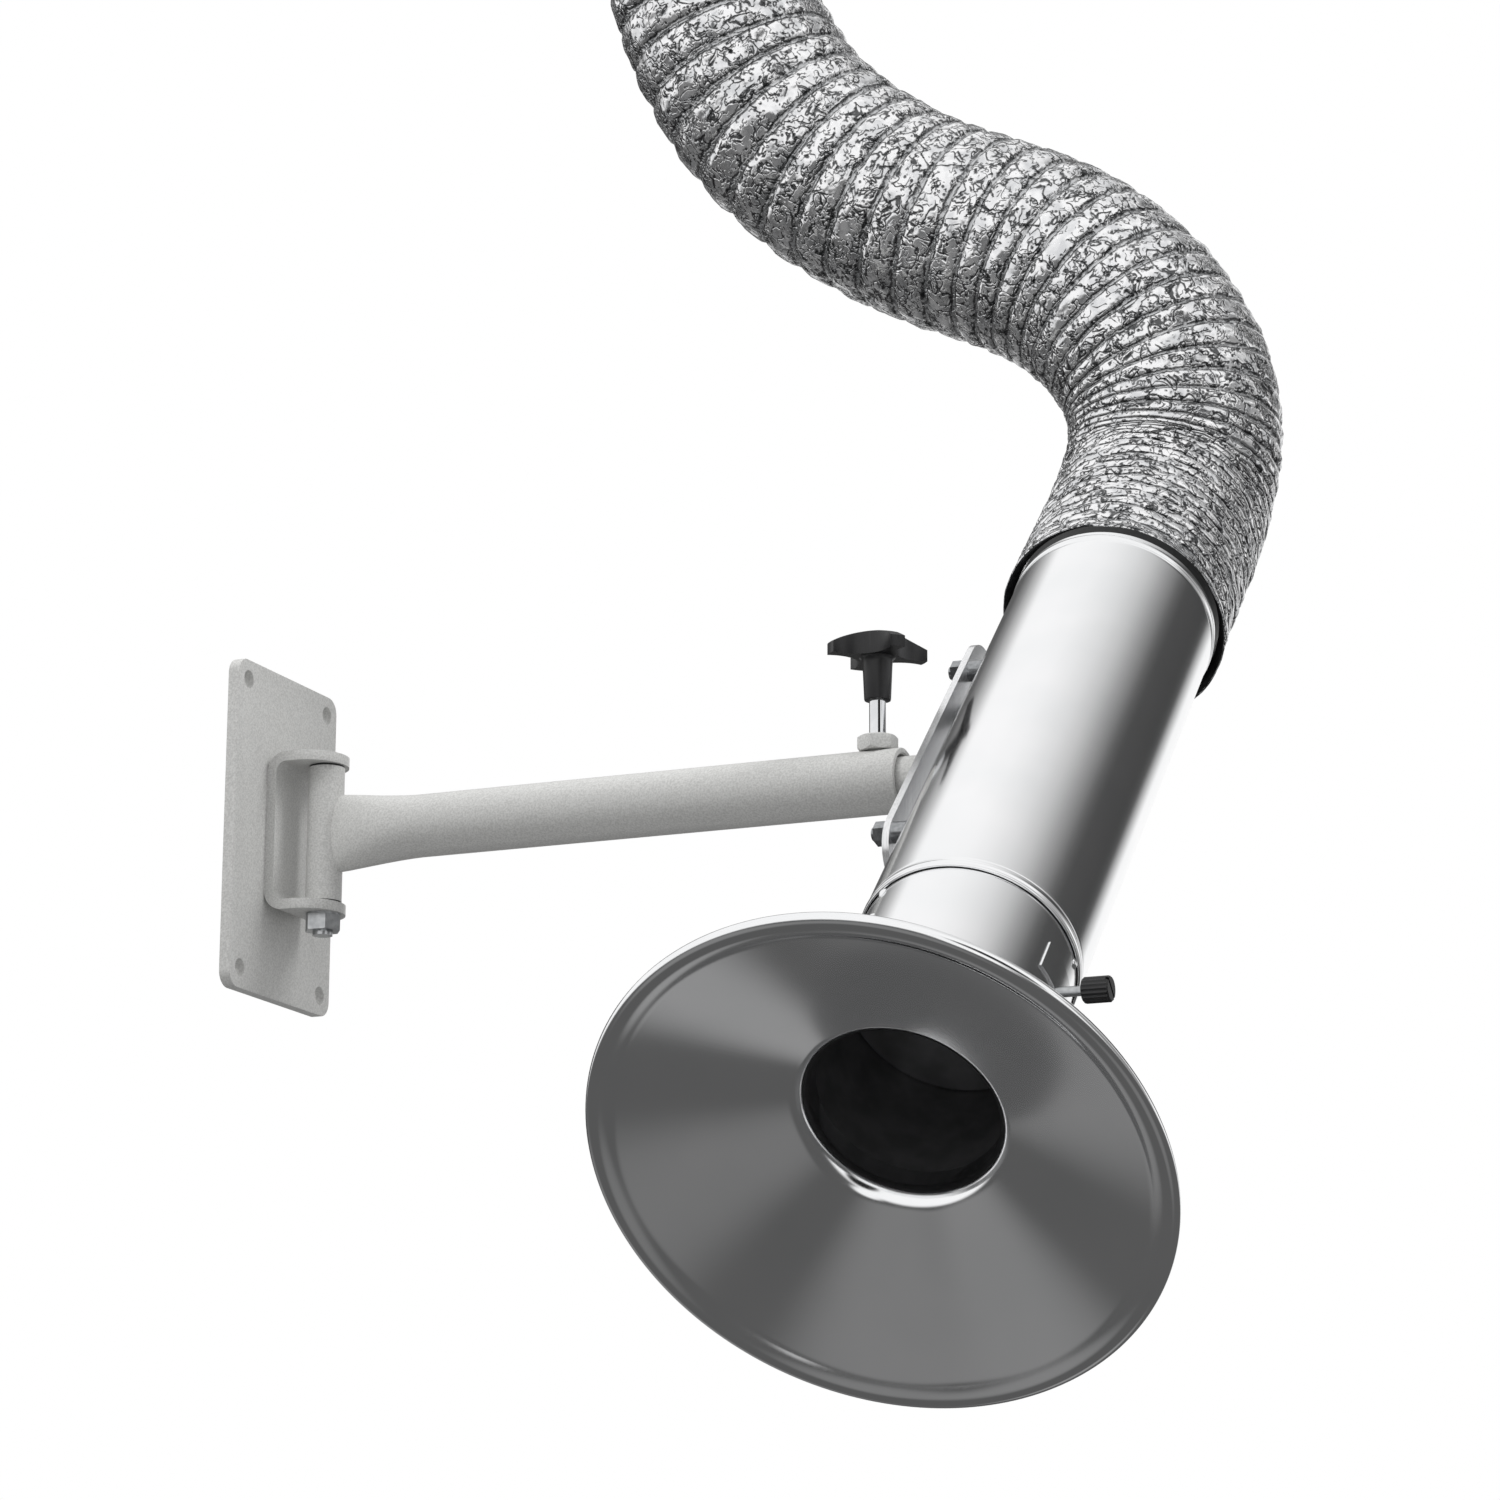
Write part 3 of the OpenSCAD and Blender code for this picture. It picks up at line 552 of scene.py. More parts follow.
def makeGrip(s):
    headAt = s["neckAt"] + s["neckHeight"]
    headHeight = s["lobeHeight"] + s["crown"]
    piece = slab("clampGrip", gripOutline(s), (0, 1), headAt, headHeight)
    domeRadius = (s["headRadius"] ** 2 + s["crown"] ** 2) / (2 * s["crown"])
    bpy.ops.object.select_all(action="DESELECT")
    bpy.ops.mesh.primitive_uv_sphere_add(
        segments=s["crownSides"], ring_count=s["crownRings"], radius=domeRadius * mm,
        location=(0, 0, (headAt + headHeight - domeRadius) * mm),
    )
    dome = bpy.context.object
    applyPlace()
    combine(piece, dome, "INTERSECT")
    roundEdges(piece, s["edge"], angle=s["edgeAngle"], smoothAngle=s["smoothAngle"])
    profile = [(radius, s["neckAt"] + up) for radius, up in s["foot"]]
    profile += [(radius, headAt + up) for radius, up in s["collar"]]
    combine(piece, lathed("gripNeck", profile, s["neckSides"]), "UNION")
    only(piece)
    bpy.ops.object.shade_smooth_by_angle(angle=math.radians(s["smoothAngle"]))
    piece.location = (s["x"] * mm, 0, 0)
    applyPlace()
    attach(piece, "clamp")
    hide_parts("clamp_grip")
    return piece


grip = makeGrip(gripSet)
print("grip made")


armSet = {
    "radius": 15.5,
    "bore": 12.5,
    "mouthAt": 338,
    "boreEnd": 280,
    "edge": 0.7,
    "straightFrom": 102,
    "sides": 96,
    "smoothAngle": 40,
    # the flattened root: its place, half width and half height
    "root": [
        (82, 15.5, 15.5), (76, 15.2, 15.75), (69, 14.5, 16.3), (62, 13.4, 17), (55, 12, 17.8),
        (49, 10.5, 18.5), (43, 8.9, 19.2), (38, 7.0, 19.6), (34, 5.6, 19.9), (29, 4.4, 20),
    ],
}


def makeArm(s):
    bpy.ops.object.select_all(action="DESELECT")
    bpy.ops.mesh.primitive_circle_add(
        vertices=s["sides"], radius=s["bore"] * mm, fill_type="NGON",
        location=(s["boreEnd"] * mm, 0, 0), rotation=(0, math.pi / 2, 0),
    )
    piece = bpy.context.object
    piece.name = "armTube"
    applyPlace()
    bpy.ops.object.mode_set(mode="EDIT")
    bpy.ops.mesh.select_mode(type="EDGE")
    bpy.ops.mesh.select_all(action="SELECT")
    bore, radius, mouth, edge = s["bore"], s["radius"], s["mouthAt"], s["edge"]
    soft = 0.3 * edge
    plain = [
        (mouth - edge, bore), (mouth, bore + edge), (mouth, radius - edge),
        (mouth - soft, radius - soft), (mouth - edge, radius), (s["straightFrom"], radius),
    ]
    x, wide, tall = s["boreEnd"], bore, bore
    for place, halfWidth, halfHeight in [(at, r, r) for at, r in plain] + s["root"]:
        bpy.ops.mesh.extrude_edges_move(
            TRANSFORM_OT_translate={"value": ((place - x) * mm, 0, 0)}
        )
        bpy.ops.transform.resize(
            value=(1, halfWidth / wide, halfHeight / tall), center_override=(place * mm, 0, 0)
        )
        x, wide, tall = place, halfWidth, halfHeight
    bpy.ops.mesh.edge_face_add()
    endEdit(s["smoothAngle"])
    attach(piece, "arm")
    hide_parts("arm_tube")
    return piece


# The chamfers are measured out from the corners, and up from the nut's lower and upper face
nutSet = {
    "x": 324.4,
    "at": 15.2,
    "height": 7.4,
    "flats": 17,
    "bore": 8.2,
    "turn": 30,
    "lowChamfer": [(-2.6, -1), (0.1, 1.3)],
    "topChamfer": [(0.1, -1), (-1.9, 0), (-3, 1)],
    "chamferSides": 96,
    "edge": 0.35,
    "edgeAngle": 25,
}


def makeClampNut(s):
    corner = s["flats"] / math.sqrt(3)
    outline = arc((0, 0), corner, s["turn"], s["turn"] + 360, 6)[:-1]
    piece = slab("clampNut", outline, (0, 1), s["at"], s["height"])
    top = s["at"] + s["height"]
    profile = [(corner + out, s["at"] + up) for out, up in s["lowChamfer"]]
    profile += [(corner + out, top + up) for out, up in s["topChamfer"]]
    profile = [(0, profile[0][1])] + profile + [(0, profile[-1][1])]
    combine(piece, lathed("chamfers", profile, s["chamferSides"]), "INTERSECT")
    combine(piece, rod("bore", (0, 0, s["at"]), s["bore"] / 2, 3 * s["height"]), "DIFFERENCE")
    roundEdges(piece, s["edge"], segments=2, angle=s["edgeAngle"])
    piece.location = (s["x"] * mm, 0, 0)
    applyPlace()
    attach(piece, "arm")
    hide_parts("clamp_nut")
    return piece


arm = makeArm(armSet)
clampNut = makeClampNut(nutSet)
print("arm and clamp nut made")


wallSet = {
    "width": 100,
    "height": 165,
    "thick": 6,
    "corner": 8,
    "cornerSteps": 8,
    "hole": 9,
    "inset": 10,
    "edge": 0.7,
}


def makeWallPlate(s):
    width, height, corner, thick = s["width"], s["height"], s["corner"], s["thick"]
    x, y = width / 2 - corner, height / 2 - corner
    outline = []
    for middle, start in (((x, y), 0), ((-x, y), 90), ((-x, -y), 180), ((x, -y), 270)):
        outline += arc(middle, corner, start, start + 90, s["cornerSteps"])
    piece = slab("wallPlate", outline, (1, 2), 0, thick)
    for y in (-1, 1):
        for z in (-1, 1):
            place = (thick / 2, y * (width / 2 - s["inset"]), z * (height / 2 - s["inset"]))
            hole = rod("hole", place, s["hole"] / 2, 3 * thick, (0, math.pi / 2, 0))
            combine(piece, hole, "DIFFERENCE")
    roundEdges(piece, s["edge"])
    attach(piece, "wall")
    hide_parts("wall_plate")
    return piece


bracketSet = {
    "width": 38,
    "thick": 5,
    "gap": 70,
    "bend": 5,
    "hingeAt": 29,
    "earEnd": 39,
    "boltHole": 10.2,
    "bendSteps": 10,
    "innerSteps": 8,
    "earSteps": 32,
    "edge": 0.7,
    "cutReach": 60,
    "cutSpare": 2,
}


def makeBracket(s):
    # the bar's side view, and then the round ears of its plan
    half, thick, bend, ear = s["gap"] / 2, s["thick"], s["bend"], s["width"] / 2
    wall = wallSet["thick"]
    middle = (wall + thick + bend, half - bend)
    upper = [(s["earEnd"], half), (s["earEnd"], half + thick)]
    upper += arc(middle, bend + thick, 90, 180, s["bendSteps"])
    inner = arc(middle, bend, 180, 90, s["innerSteps"])
    lower = [(x, -z) for x, z in upper[::-1]]
    innerLow = [(x, -z) for x, z in inner[::-1]]
    piece = slab("hingeBracket", upper + lower + innerLow + inner, (0, 2), -ear, s["width"])
    back, side, earAt = wall - s["cutSpare"], ear + s["cutSpare"], s["earEnd"] - ear
    plan = [(back, -side), (earAt, -side)]
    plan += arc((earAt, 0), ear, -90, 90, s["earSteps"])
    plan += [(earAt, side), (back, side)]
    reach = s["cutReach"]
    combine(piece, slab("plan", plan, (0, 1), -reach, 2 * reach), "INTERSECT")
    bolt = rod("bolt", (s["hingeAt"], 0, 0), s["boltHole"] / 2, 2 * reach)
    combine(piece, bolt, "DIFFERENCE")
    roundEdges(piece, s["edge"])
    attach(piece, "wall")
    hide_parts("hinge_bracket")
    return piece


wallPlate = makeWallPlate(wallSet)
bracket = makeBracket(bracketSet)
print("wall plate and bracket made")


knobSet = {
    "at": 60.6,
    "radius": 5.75,
    "length": 12.3,
    "ribs": 18,
    "rib": 0.42,
    "ribSharp": 0.6,
    "pointsPerRib": 8,
    # the cone that takes the ends' corners off, as radius and height
    "cone": [(0, -1), (4.05, -1), (5.77, 0.7)],
    "coneSides": 72,
    "slotWidth": 1.4,
    "slotDepth": 1.5,
    "slotSpare": 1,
    "smoothAngle": 40,
}


def makeKnob(s):
    length = s["length"]
    count = s["ribs"] * s["pointsPerRib"]
    outline = []
    for i in range(count):
        a = 2 * math.pi * i / count
        r = s["radius"] - s["rib"] * (0.5 - 0.5 * math.cos(s["ribs"] * a)) ** s["ribSharp"]
        outline.append((r * math.cos(a), r * math.sin(a)))
    piece = slab("damperKnob", outline, (0, 1), 0, length)
    cone = s["cone"] + [(r, length - z) for r, z in s["cone"][::-1]]
    combine(piece, lathed("cone", cone, s["coneSides"]), "INTERSECT")
    bpy.ops.object.select_all(action="DESELECT")
    bpy.ops.mesh.primitive_cube_add(
        size=1, location=(0, 0, (length - s["slotDepth"] / 2 + s["slotSpare"] / 2) * mm),
        scale=(s["slotWidth"] * mm, 3 * s["radius"] * mm, (s["slotDepth"] + s["slotSpare"]) * mm),
    )
    slot = bpy.context.object
    applyPlace()
    combine(piece, slot, "DIFFERENCE")
    only(piece)
    bpy.ops.object.shade_smooth_by_angle(angle=math.radians(s["smoothAngle"]))
    piece.rotation_euler = (0, math.pi / 2, 0)
    piece.location = (s["at"] * mm, 0, ductSet["damperAt"] * mm)
    applyPlace()
    placeOnDuct(piece, "damper")
    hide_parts("damper_knob")
    return piece


knob = makeKnob(knobSet)
print("damper knob made")


def colour(code):
    parts = [int(code[i:i + 2], 16) / 255 for i in (1, 3, 5)]
    return [*(p / 12.92 if p <= 0.04045 else ((p + 0.055) / 1.055) ** 2.4 for p in parts), 1]


def addNode(tree, kind, inputs=None, **settings):
    node = tree.nodes.new(kind)
    for name, value in settings.items():
        setattr(node, name, value)
    for name, value in (inputs or {}).items():
        if isinstance(value, bpy.types.NodeSocket):
            tree.links.new(value, node.inputs[name])
        else:
            node.inputs[name].default_value = value
    return node


def setRamp(node, stops):
    # stops are pairs of place and colour code
    ramp = node.color_ramp
    while len(ramp.elements) > 1:
        ramp.elements.remove(ramp.elements[-1])
    for i, (place, code) in enumerate(stops):
        element = ramp.elements[0] if i == 0 else ramp.elements.new(place)
        element.position = place
        element.color = colour(code)
    return node.outputs["Color"]


def newMaterial(name, **values):
    material = bpy.data.materials.new(name)
    material.use_nodes = True
    tree = material.node_tree
    shader = tree.nodes["Principled BSDF"]
    for key, value in values.items():
        shader.inputs[key].default_value = value
    return material, tree, shader


def startFinish(name, size, detail, stops, **values):
    # the colour drifts through the stops in a cloudy pattern of this size in mm
    material, tree, shader = newMaterial(name, **values)
    place = addNode(tree, "ShaderNodeTexCoord").outputs["Object"]
    cloud = addNode(
        tree, "ShaderNodeTexNoise", {"Vector": place, "Scale": 1 / (size * mm), "Detail": detail}
    )
    tone = addNode(tree, "ShaderNodeValToRGB", {"Fac": cloud.outputs["Fac"]})
    tree.links.new(setRamp(tone, stops), shader.inputs["Base Color"])
    return material, tree, shader, place, cloud


def plainFinish(name, size, detail, stops, **values):
    return startFinish(name, size, detail, stops, **values)[0]


# Powder-coated steel: a thick satin coat with a faint orange peel and fine sparkle
def powderCoatedSteel():
    stops = [(0.36, "#c3c3c1"), (0.5, "#cfcfcd"), (0.64, "#dadad8")]
    material, tree, shader, place, _ = startFinish(
        "powderCoatedSteel", 0.9, 3.0, stops, Roughness=0.42
    )
    peel = addNode(tree, "ShaderNodeTexNoise", {"Vector": place, "Scale": 1 / (2.2 * mm), "Detail": 2.0})
    relief = addNode(
        tree, "ShaderNodeBump",
        {"Height": peel.outputs["Fac"], "Strength": 0.2, "Distance": 0.3 * mm},
    )
    tree.links.new(relief.outputs["Normal"], shader.inputs["Normal"])
    return material


# Polished stainless sheet: a bright mirror, softened by the finest polishing haze
def polishedStainless():
    material, tree, shader, place, _ = startFinish(
        "polishedStainless", 45, 2.0, [(0.3, "#f2f3f4"), (0.7, "#f8f8f9")], Metallic=1.0, Roughness=0.13
    )
    haze = addNode(tree, "ShaderNodeTexNoise", {"Vector": place, "Scale": 1 / (0.8 * mm), "Detail": 2.0})
    gloss = addNode(
        tree, "ShaderNodeMapRange",
        {
            "Value": haze.outputs["Fac"], "From Min": 0.3, "From Max": 0.7,
            "To Min": 0.11, "To Max": 0.15,
        },
    )
    tree.links.new(gloss.outputs["Result"], shader.inputs["Roughness"])
    return material


# Brushed steel bar: fine lines along its length that spread the light
def brushedSteel():
    material, tree, shader = newMaterial("brushedSteel", Metallic=0.8, Roughness=0.27)
    place = addNode(tree, "ShaderNodeTexCoord").outputs["Object"]
    drawn = addNode(
        tree, "ShaderNodeMapping",
        {"Vector": place, "Rotation": (math.pi / 4, 0, 0), "Scale": (1, 1, 0.04)}, vector_type="POINT",
    )
    lines = addNode(
        tree, "ShaderNodeTexNoise",
        {"Vector": drawn.outputs["Vector"], "Scale": 1 / (0.8 * mm), "Detail": 2.0},
    )
    tone = addNode(tree, "ShaderNodeValToRGB", {"Fac": lines.outputs["Fac"]})
    shade = setRamp(tone, [(0.35, "#e4e5e6"), (0.65, "#f4f4f5")])
    tree.links.new(shade, shader.inputs["Base Color"])
    return material


# Moulded black plastic: satin, with a fine spark-eroded grain
def mouldedBlackPlastic():
    material, tree, shader, _, grain = startFinish(
        "mouldedBlackPlastic", 0.5, 2.0, [(0.3, "#161617"), (0.7, "#202022")], Roughness=0.38
    )
    relief = addNode(
        tree, "ShaderNodeBump",
        {"Height": grain.outputs["Fac"], "Strength": 0.15, "Distance": 0.1 * mm},
    )
    tree.links.new(relief.outputs["Normal"], shader.inputs["Normal"])
    return material


# Crumpled aluminium foil laminate over a wire spiral: bright flat flakes broken by thin crinkles and pin
# dents, with a ridge and two pressed lines along the wire. The crinkles, dents and pressed lines are
# painted dark as shade in their hollows, and the ridge is painted a middle grey as shade
foilSet = {
    "pitch": 17.0,
    "sway": 3.2,
    "dentSize": 4.2,
    # each cloudy pattern's size in mm, its detail and its twist
    "clouds": {
        "wide": (9.5, 2.2, 0.5), "wideGate": (10.0, 1.0, 0.0), "fine": (5.2, 1.6, 0.5),
        "fineGate": (6.5, 1.0, 0.0), "pitGate": (6.0, 1.0, 0.0), "lineBreaks": (4.2, 2.0, 0.0),
        "sway": (7.0, 2.0, 0.0), "slope": (9.0, 2.0, 0.0), "grain": (2.6, 2.0, 0.0),
    },
    # what a mask reads, the two values between which it fades, in mm where it reads the way to
    # the wire, and its strength at the two
    "masks": {
        "wide": ("wideOff", 0.0119, 0.034, 1, 0), "wideDip": ("wideOff", 0, 0.0578, 1, 0),
        "wideGate": ("wideGate", 0.4, 0.45, 0, 1), "fine": ("fineOff", 0.0126, 0.036, 1, 0),
        "fineDip": ("fineOff", 0, 0.0612, 1, 0), "fineGate": ("fineGate", 0.45, 0.5, 0, 1),
        "pit": ("dent", 0.14, 0.28, 1, 0), "pitGate": ("pitGate", 0.45, 0.53, 0, 1),
        "ridge": ("toWire", 0.5, 1.1, 1, 0), "edge": ("toWire", 0.6, 1.1, 0, 1),
        "edgeEnd": ("toWire", 1.4, 2.2, 1, 0), "lineBreaks": ("lineBreaks", 0.36, 0.5, 0, 1),
    },
    # a mask shows only where the other does
    # a cloudy pattern breaks the pressed lines' painted shade into pieces
    "gates": [
        ("wide", "wideGate"), ("wideDip", "wideGate"), ("fine", "fineGate"), ("fineDip", "fineGate"),
        ("pit", "pitGate"), ("edge", "edgeEnd"), ("edge", "lineBreaks"),
    ],
    "tones": [(0.36, "#dbdcde"), (0.58, "#f9f9fa")],
    # painted shade: a mask, how strongly it darkens the foil and the grey it darkens to
    "paintedShades": [
        ("wide", 0.9, "#26282a"), ("fine", 0.8, "#343638"), ("pit", 0.85, "#26282a"),
        ("edge", 0.85, "#303234"), ("ridge", 0.6, "#a4a6a8"),
    ],
    # heights in mm
    "relief": [
        ("ridge", 0.7), ("wideDip", -0.6), ("fineDip", -0.3), ("pit", -0.3), ("edge", -0.35),
        ("slope", 0.85), ("grain", 0.04),
    ],
}


def crumpledFoil(s):
    material, tree, shader = newMaterial("crumpledFoil", Metallic=0.93, Roughness=0.2)
    place = addNode(tree, "ShaderNodeTexCoord").outputs["Object"]
    reads = {}
    for name, (size, detail, twist) in s["clouds"].items():
        cloud = addNode(
            tree, "ShaderNodeTexNoise",
            {
                "Vector": place, "Scale": 1 / (size * mm), "Detail": detail,
                "Roughness": 0.6, "Distortion": twist,
            },
        )
        reads[name] = cloud.outputs["Fac"]
    dents = addNode(tree, "ShaderNodeTexVoronoi", {"Vector": place, "Scale": 1 / (s["dentSize"] * mm)})
    reads["dent"] = dents.outputs["Distance"]

    # the wire's turns come from the hose's own unrolled angle and length, and wander a little
    along = addNode(tree, "ShaderNodeUVMap", uv_map="along")
    parts = addNode(tree, "ShaderNodeSeparateXYZ", {"Vector": along.outputs["UV"]})
    turns = addNode(
        tree, "ShaderNodeMath", {0: parts.outputs["X"], 1: parts.outputs["Y"]}, operation="ADD"
    )
    sway = addNode(tree, "ShaderNodeMath", {0: reads["sway"], 1: 0.5}, operation="SUBTRACT")
    turns = addNode(
        tree, "ShaderNodeMath",
        {0: sway.outputs["Value"], 1: s["sway"] / s["pitch"], 2: turns.outputs["Value"]},
        operation="MULTIPLY_ADD",
    )
    phase = addNode(
        tree, "ShaderNodeMath", {0: turns.outputs["Value"], 1: 0.0, 2: 1.0}, operation="WRAP"
    )
    reads["phase"] = phase.outputs["Value"]

    # crinkles lie where a cloudy pattern passes its middle tone, and the wire in mid-turn
    for name, source in (("wideOff", "wide"), ("fineOff", "fine"), ("toWire", "phase")):
        off = addNode(tree, "ShaderNodeMath", {0: reads[source], 1: 0.5}, operation="SUBTRACT")
        off = addNode(tree, "ShaderNodeMath", {0: off.outputs["Value"]}, operation="ABSOLUTE")
        reads[name] = off.outputs["Value"]
    masks = {"slope": reads["slope"], "grain": reads["grain"]}
    for name, (source, low, high, atLow, atHigh) in s["masks"].items():
        turn = s["pitch"] if source == "toWire" else 1
        fade = addNode(
            tree, "ShaderNodeMapRange",
            {
                "Value": reads[source], "From Min": low / turn, "From Max": high / turn,
                "To Min": atLow, "To Max": atHigh,
            },
            interpolation_type="SMOOTHSTEP",
        )
        masks[name] = fade.outputs["Result"]
    for name, gate in s["gates"]:
        kept = addNode(tree, "ShaderNodeMath", {0: masks[name], 1: masks[gate]}, operation="MULTIPLY")
        masks[name] = kept.outputs["Value"]

    tone = addNode(tree, "ShaderNodeValToRGB", {"Fac": reads["slope"]})
    shade = setRamp(tone, s["tones"])
    # the crinkles, pits, pressed lines and ridge darkened as painted shade
    for name, depth, code in s["paintedShades"]:
        amount = addNode(tree, "ShaderNodeMath", {0: masks[name], 1: depth}, operation="MULTIPLY")
        paintedDark = addNode(
            tree, "ShaderNodeMix",
            {"Factor": amount.outputs["Value"], "A": shade, "B": colour(code)}, data_type="RGBA",
        )
        shade = paintedDark.outputs["Result"]
    tree.links.new(shade, shader.inputs["Base Color"])

    height = 0.0
    for name, depth in s["relief"]:
        raised = addNode(
            tree, "ShaderNodeMath", {0: masks[name], 1: depth, 2: height}, operation="MULTIPLY_ADD"
        )
        height = raised.outputs["Value"]
    relief = addNode(tree, "ShaderNodeBump", {"Height": height, "Strength": 1.0, "Distance": 1.0 * mm})
    tree.links.new(relief.outputs["Normal"], shader.inputs["Normal"])
    return material


powderCoat = powderCoatedSteel()
stainless = polishedStainless()
brushed = brushedSteel()
blackPlastic = mouldedBlackPlastic()
foil = crumpledFoil(foilSet)
# black zinc on the small bolts: a dark clouded grey
blackZinc = plainFinish(
    "blackZinc", 2, 4.0, [(0.3, "#8e9092"), (0.7, "#acaeb0")], Metallic=1.0, Roughness=0.24
)
# zinc-plated fasteners: a lighter grey, slightly clouded
zincPlate = plainFinish(
    "zincPlatedSteel", 3, 4.0, [(0.3, "#a9abad"), (0.7, "#c9cbcc")], Metallic=1.0, Roughness=0.28
)
# the inside of the pipe, neck and damper: the same steel, painted a dull dark grey as painted shade
# inside the bore
boreShade = plainFinish(
    "boreShadeSteel", 14, 3.0, [(0.35, "#737375"), (0.65, "#858587")], Metallic=0.6, Roughness=0.38
)
# hard chrome on the clamp's rod: the clearest mirror of the part
chromedRod = plainFinish(
    "chromedRod", 6, 3.0, [(0.35, "#dcdddf"), (0.65, "#e6e7e8")], Metallic=1.0, Roughness=0.08
)
# turned brass: a yellow metal, a little dull from the tool
turnedBrass = plainFinish(
    "turnedBrass", 2, 3.0, [(0.35, "#a98a4b"), (0.65, "#bd9c5a")], Metallic=1.0, Roughness=0.3
)
# natural nylon: off-white and waxy
naturalNylon = plainFinish(
    "naturalNylon", 5, 3.0, [(0.35, "#dcd9cf"), (0.65, "#e4e2da")], Roughness=0.5
)
# the foil's inner fold and the pipe's end under it: almost black, as no light gets in
shadedFoil = plainFinish(
    "shadedFoil", 3, 3.0, [(0.35, "#1c1d1e"), (0.65, "#2e2f30")], Metallic=0.4, Roughness=0.55
)
# galvanised sheet: a clouded grey from the zinc's crystals
galvanisedSheet = plainFinish(
    "galvanisedSheet", 12, 3.0, [(0.35, "#a7abae"), (0.65, "#c3c6c8")], Metallic=1.0, Roughness=0.35
)


def giveMaterial(material, *names):
    for name in names:
        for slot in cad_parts[name].material_slots:
            slot.material = material


giveMaterial(powderCoat, "hinge_barrel", "duct_spindle")
giveMaterial(stainless, "damper_bearing", "hood_rivets")
giveMaterial(brushed, "support_plate")
giveMaterial(blackZinc, "plate_bolts", "plate_nuts", "plate_spacers")
# the damper in the throat is painted dark as shade
giveMaterial(boreShade, "damper_blade", "damper_screws")
giveMaterial(zincPlate, "hinge_bolt", "hinge_nut", "hinge_washers", "damper_shaft")
giveMaterial(blackPlastic, "hinge_bushes")
giveMaterial(chromedRod, "clamp_screw")
giveMaterial(turnedBrass, "clamp_tip")
giveMaterial(naturalNylon, "guide_sleeve")
giveMaterial(galvanisedSheet, "outlet_collar", "outlet_flange")


def coatInside(piece, radius):
    # the faces nearer to the duct's axis than this radius get the second material
    start = Vector(ductSet["place"]) * mm
    for face in piece.data.polygons:
        off = face.center - start
        if (off - ductAxis * off.dot(ductAxis)).length < radius * mm:
            face.material_index = 1


for piece, *materials in (
    (wallPlate, powderCoat), (bracket, powderCoat), (arm, powderCoat), (clampNut, powderCoat),
    (grip, blackPlastic), (knob, blackPlastic), (hood, stainless), (neck, stainless, boreShade),
    (pipe, stainless, boreShade, shadedFoil), (hose, foil, shadedFoil),
):
    for material in materials:
        piece.data.materials.append(material)
# the faces inside the neck and the pipe take the painted shade of the bore
coatInside(neck, neckSet["boreShadeRadius"])
coatInside(pipe, pipeSet["boreShadeRadius"])
# the pipe's upper end lies in the hose's shade
for face in pipe.data.polygons:
    if face.center.y + face.center.z > math.sqrt(2) * pipeSet["shadeFrom"] * mm:
        face.material_index = 2
print("materials made")


studioSet = {
    "floorHeight": -0.95,
    "floorSize": 14.0,
    "floorX": 0.3,
    # the soft light from all round is stronger from above, and changes between these two rises
    "diffuseLevel": 0.62,
    "lowLevel": 0.41,
    "diffuseFade": (-0.5, 0.5),
    # polished metal sees white above and this grey below, and a change between these two rises
    "lowGrey": "#595959",
    "lowFade": (-0.18, 0.02),
    # and, towards the duct's upper end, boards that run along it: turns round its axis and greys
    "boardFade": (0.62, 0.72),
    "boards": [
        (0.09, "#5c5c5c"), (0.14, "#8c8c8c"), (0.185, "#c6c6c6"), (0.225, "#ffffff"), (0.31, "#ffffff"),
        (0.38, "#fbfbfb"), (0.435, "#f1f1f1"), (0.487, "#e2e2e2"), (0.538, "#c9c9c9"),
        (0.59, "#9d9d9d"), (0.645, "#626262"), (0.675, "#4b4b4b"), (0.78, "#444444"),
        (0.81, "#505050"), (0.875, "#ffffff"),
    ],
    # elsewhere it sees soft patches: the way to each, its inner and outer angle and its grey
    "patches": [
        {"azimuth": 146, "height": 7, "inner": 10, "outer": 22, "grey": "#242424"},
        {"azimuth": -68, "height": -9, "inner": 7, "outer": 14, "grey": "#ffffff"},
        {"azimuth": 128, "height": -14, "inner": 3, "outer": 11, "grey": "#a8a8a8"},
        {"azimuth": 8, "height": 12, "inner": 12, "outer": 28, "grey": "#909090"},
        {"azimuth": -48, "height": 16, "inner": 12, "outer": 19, "grey": "#1e1e1e"},
        {"azimuth": 148, "height": -32, "inner": 2, "outer": 26, "grey": "#7f7f7f"},
        {"azimuth": 104, "height": -61, "inner": 2, "outer": 15, "grey": "#949494"},
        {"azimuth": -38, "height": -64, "inner": 2, "outer": 22, "grey": "#757575"},
        {"azimuth": -100, "height": -32, "inner": 5, "outer": 22, "grey": "#7d7d7d"},
        {"azimuth": -134, "height": -29, "inner": 5, "outer": 24, "grey": "#838383"},
    ],
}


def wayTo(azimuth, height):
    a, h = math.radians(azimuth), math.radians(height)
    return (math.cos(a) * math.cos(h), math.sin(a) * math.cos(h), math.sin(h))


def boardSides():
    # the way from the duct's axis to the camera, and the way to the right of it
    front = Vector(cameraSet["place"]) - Vector(ductSet["place"]) * mm
    front = (front - ductAxis * front.dot(ductAxis)).normalized()
    side = ductAxis.cross(front)
    return front, side if side.x > 0 else -side


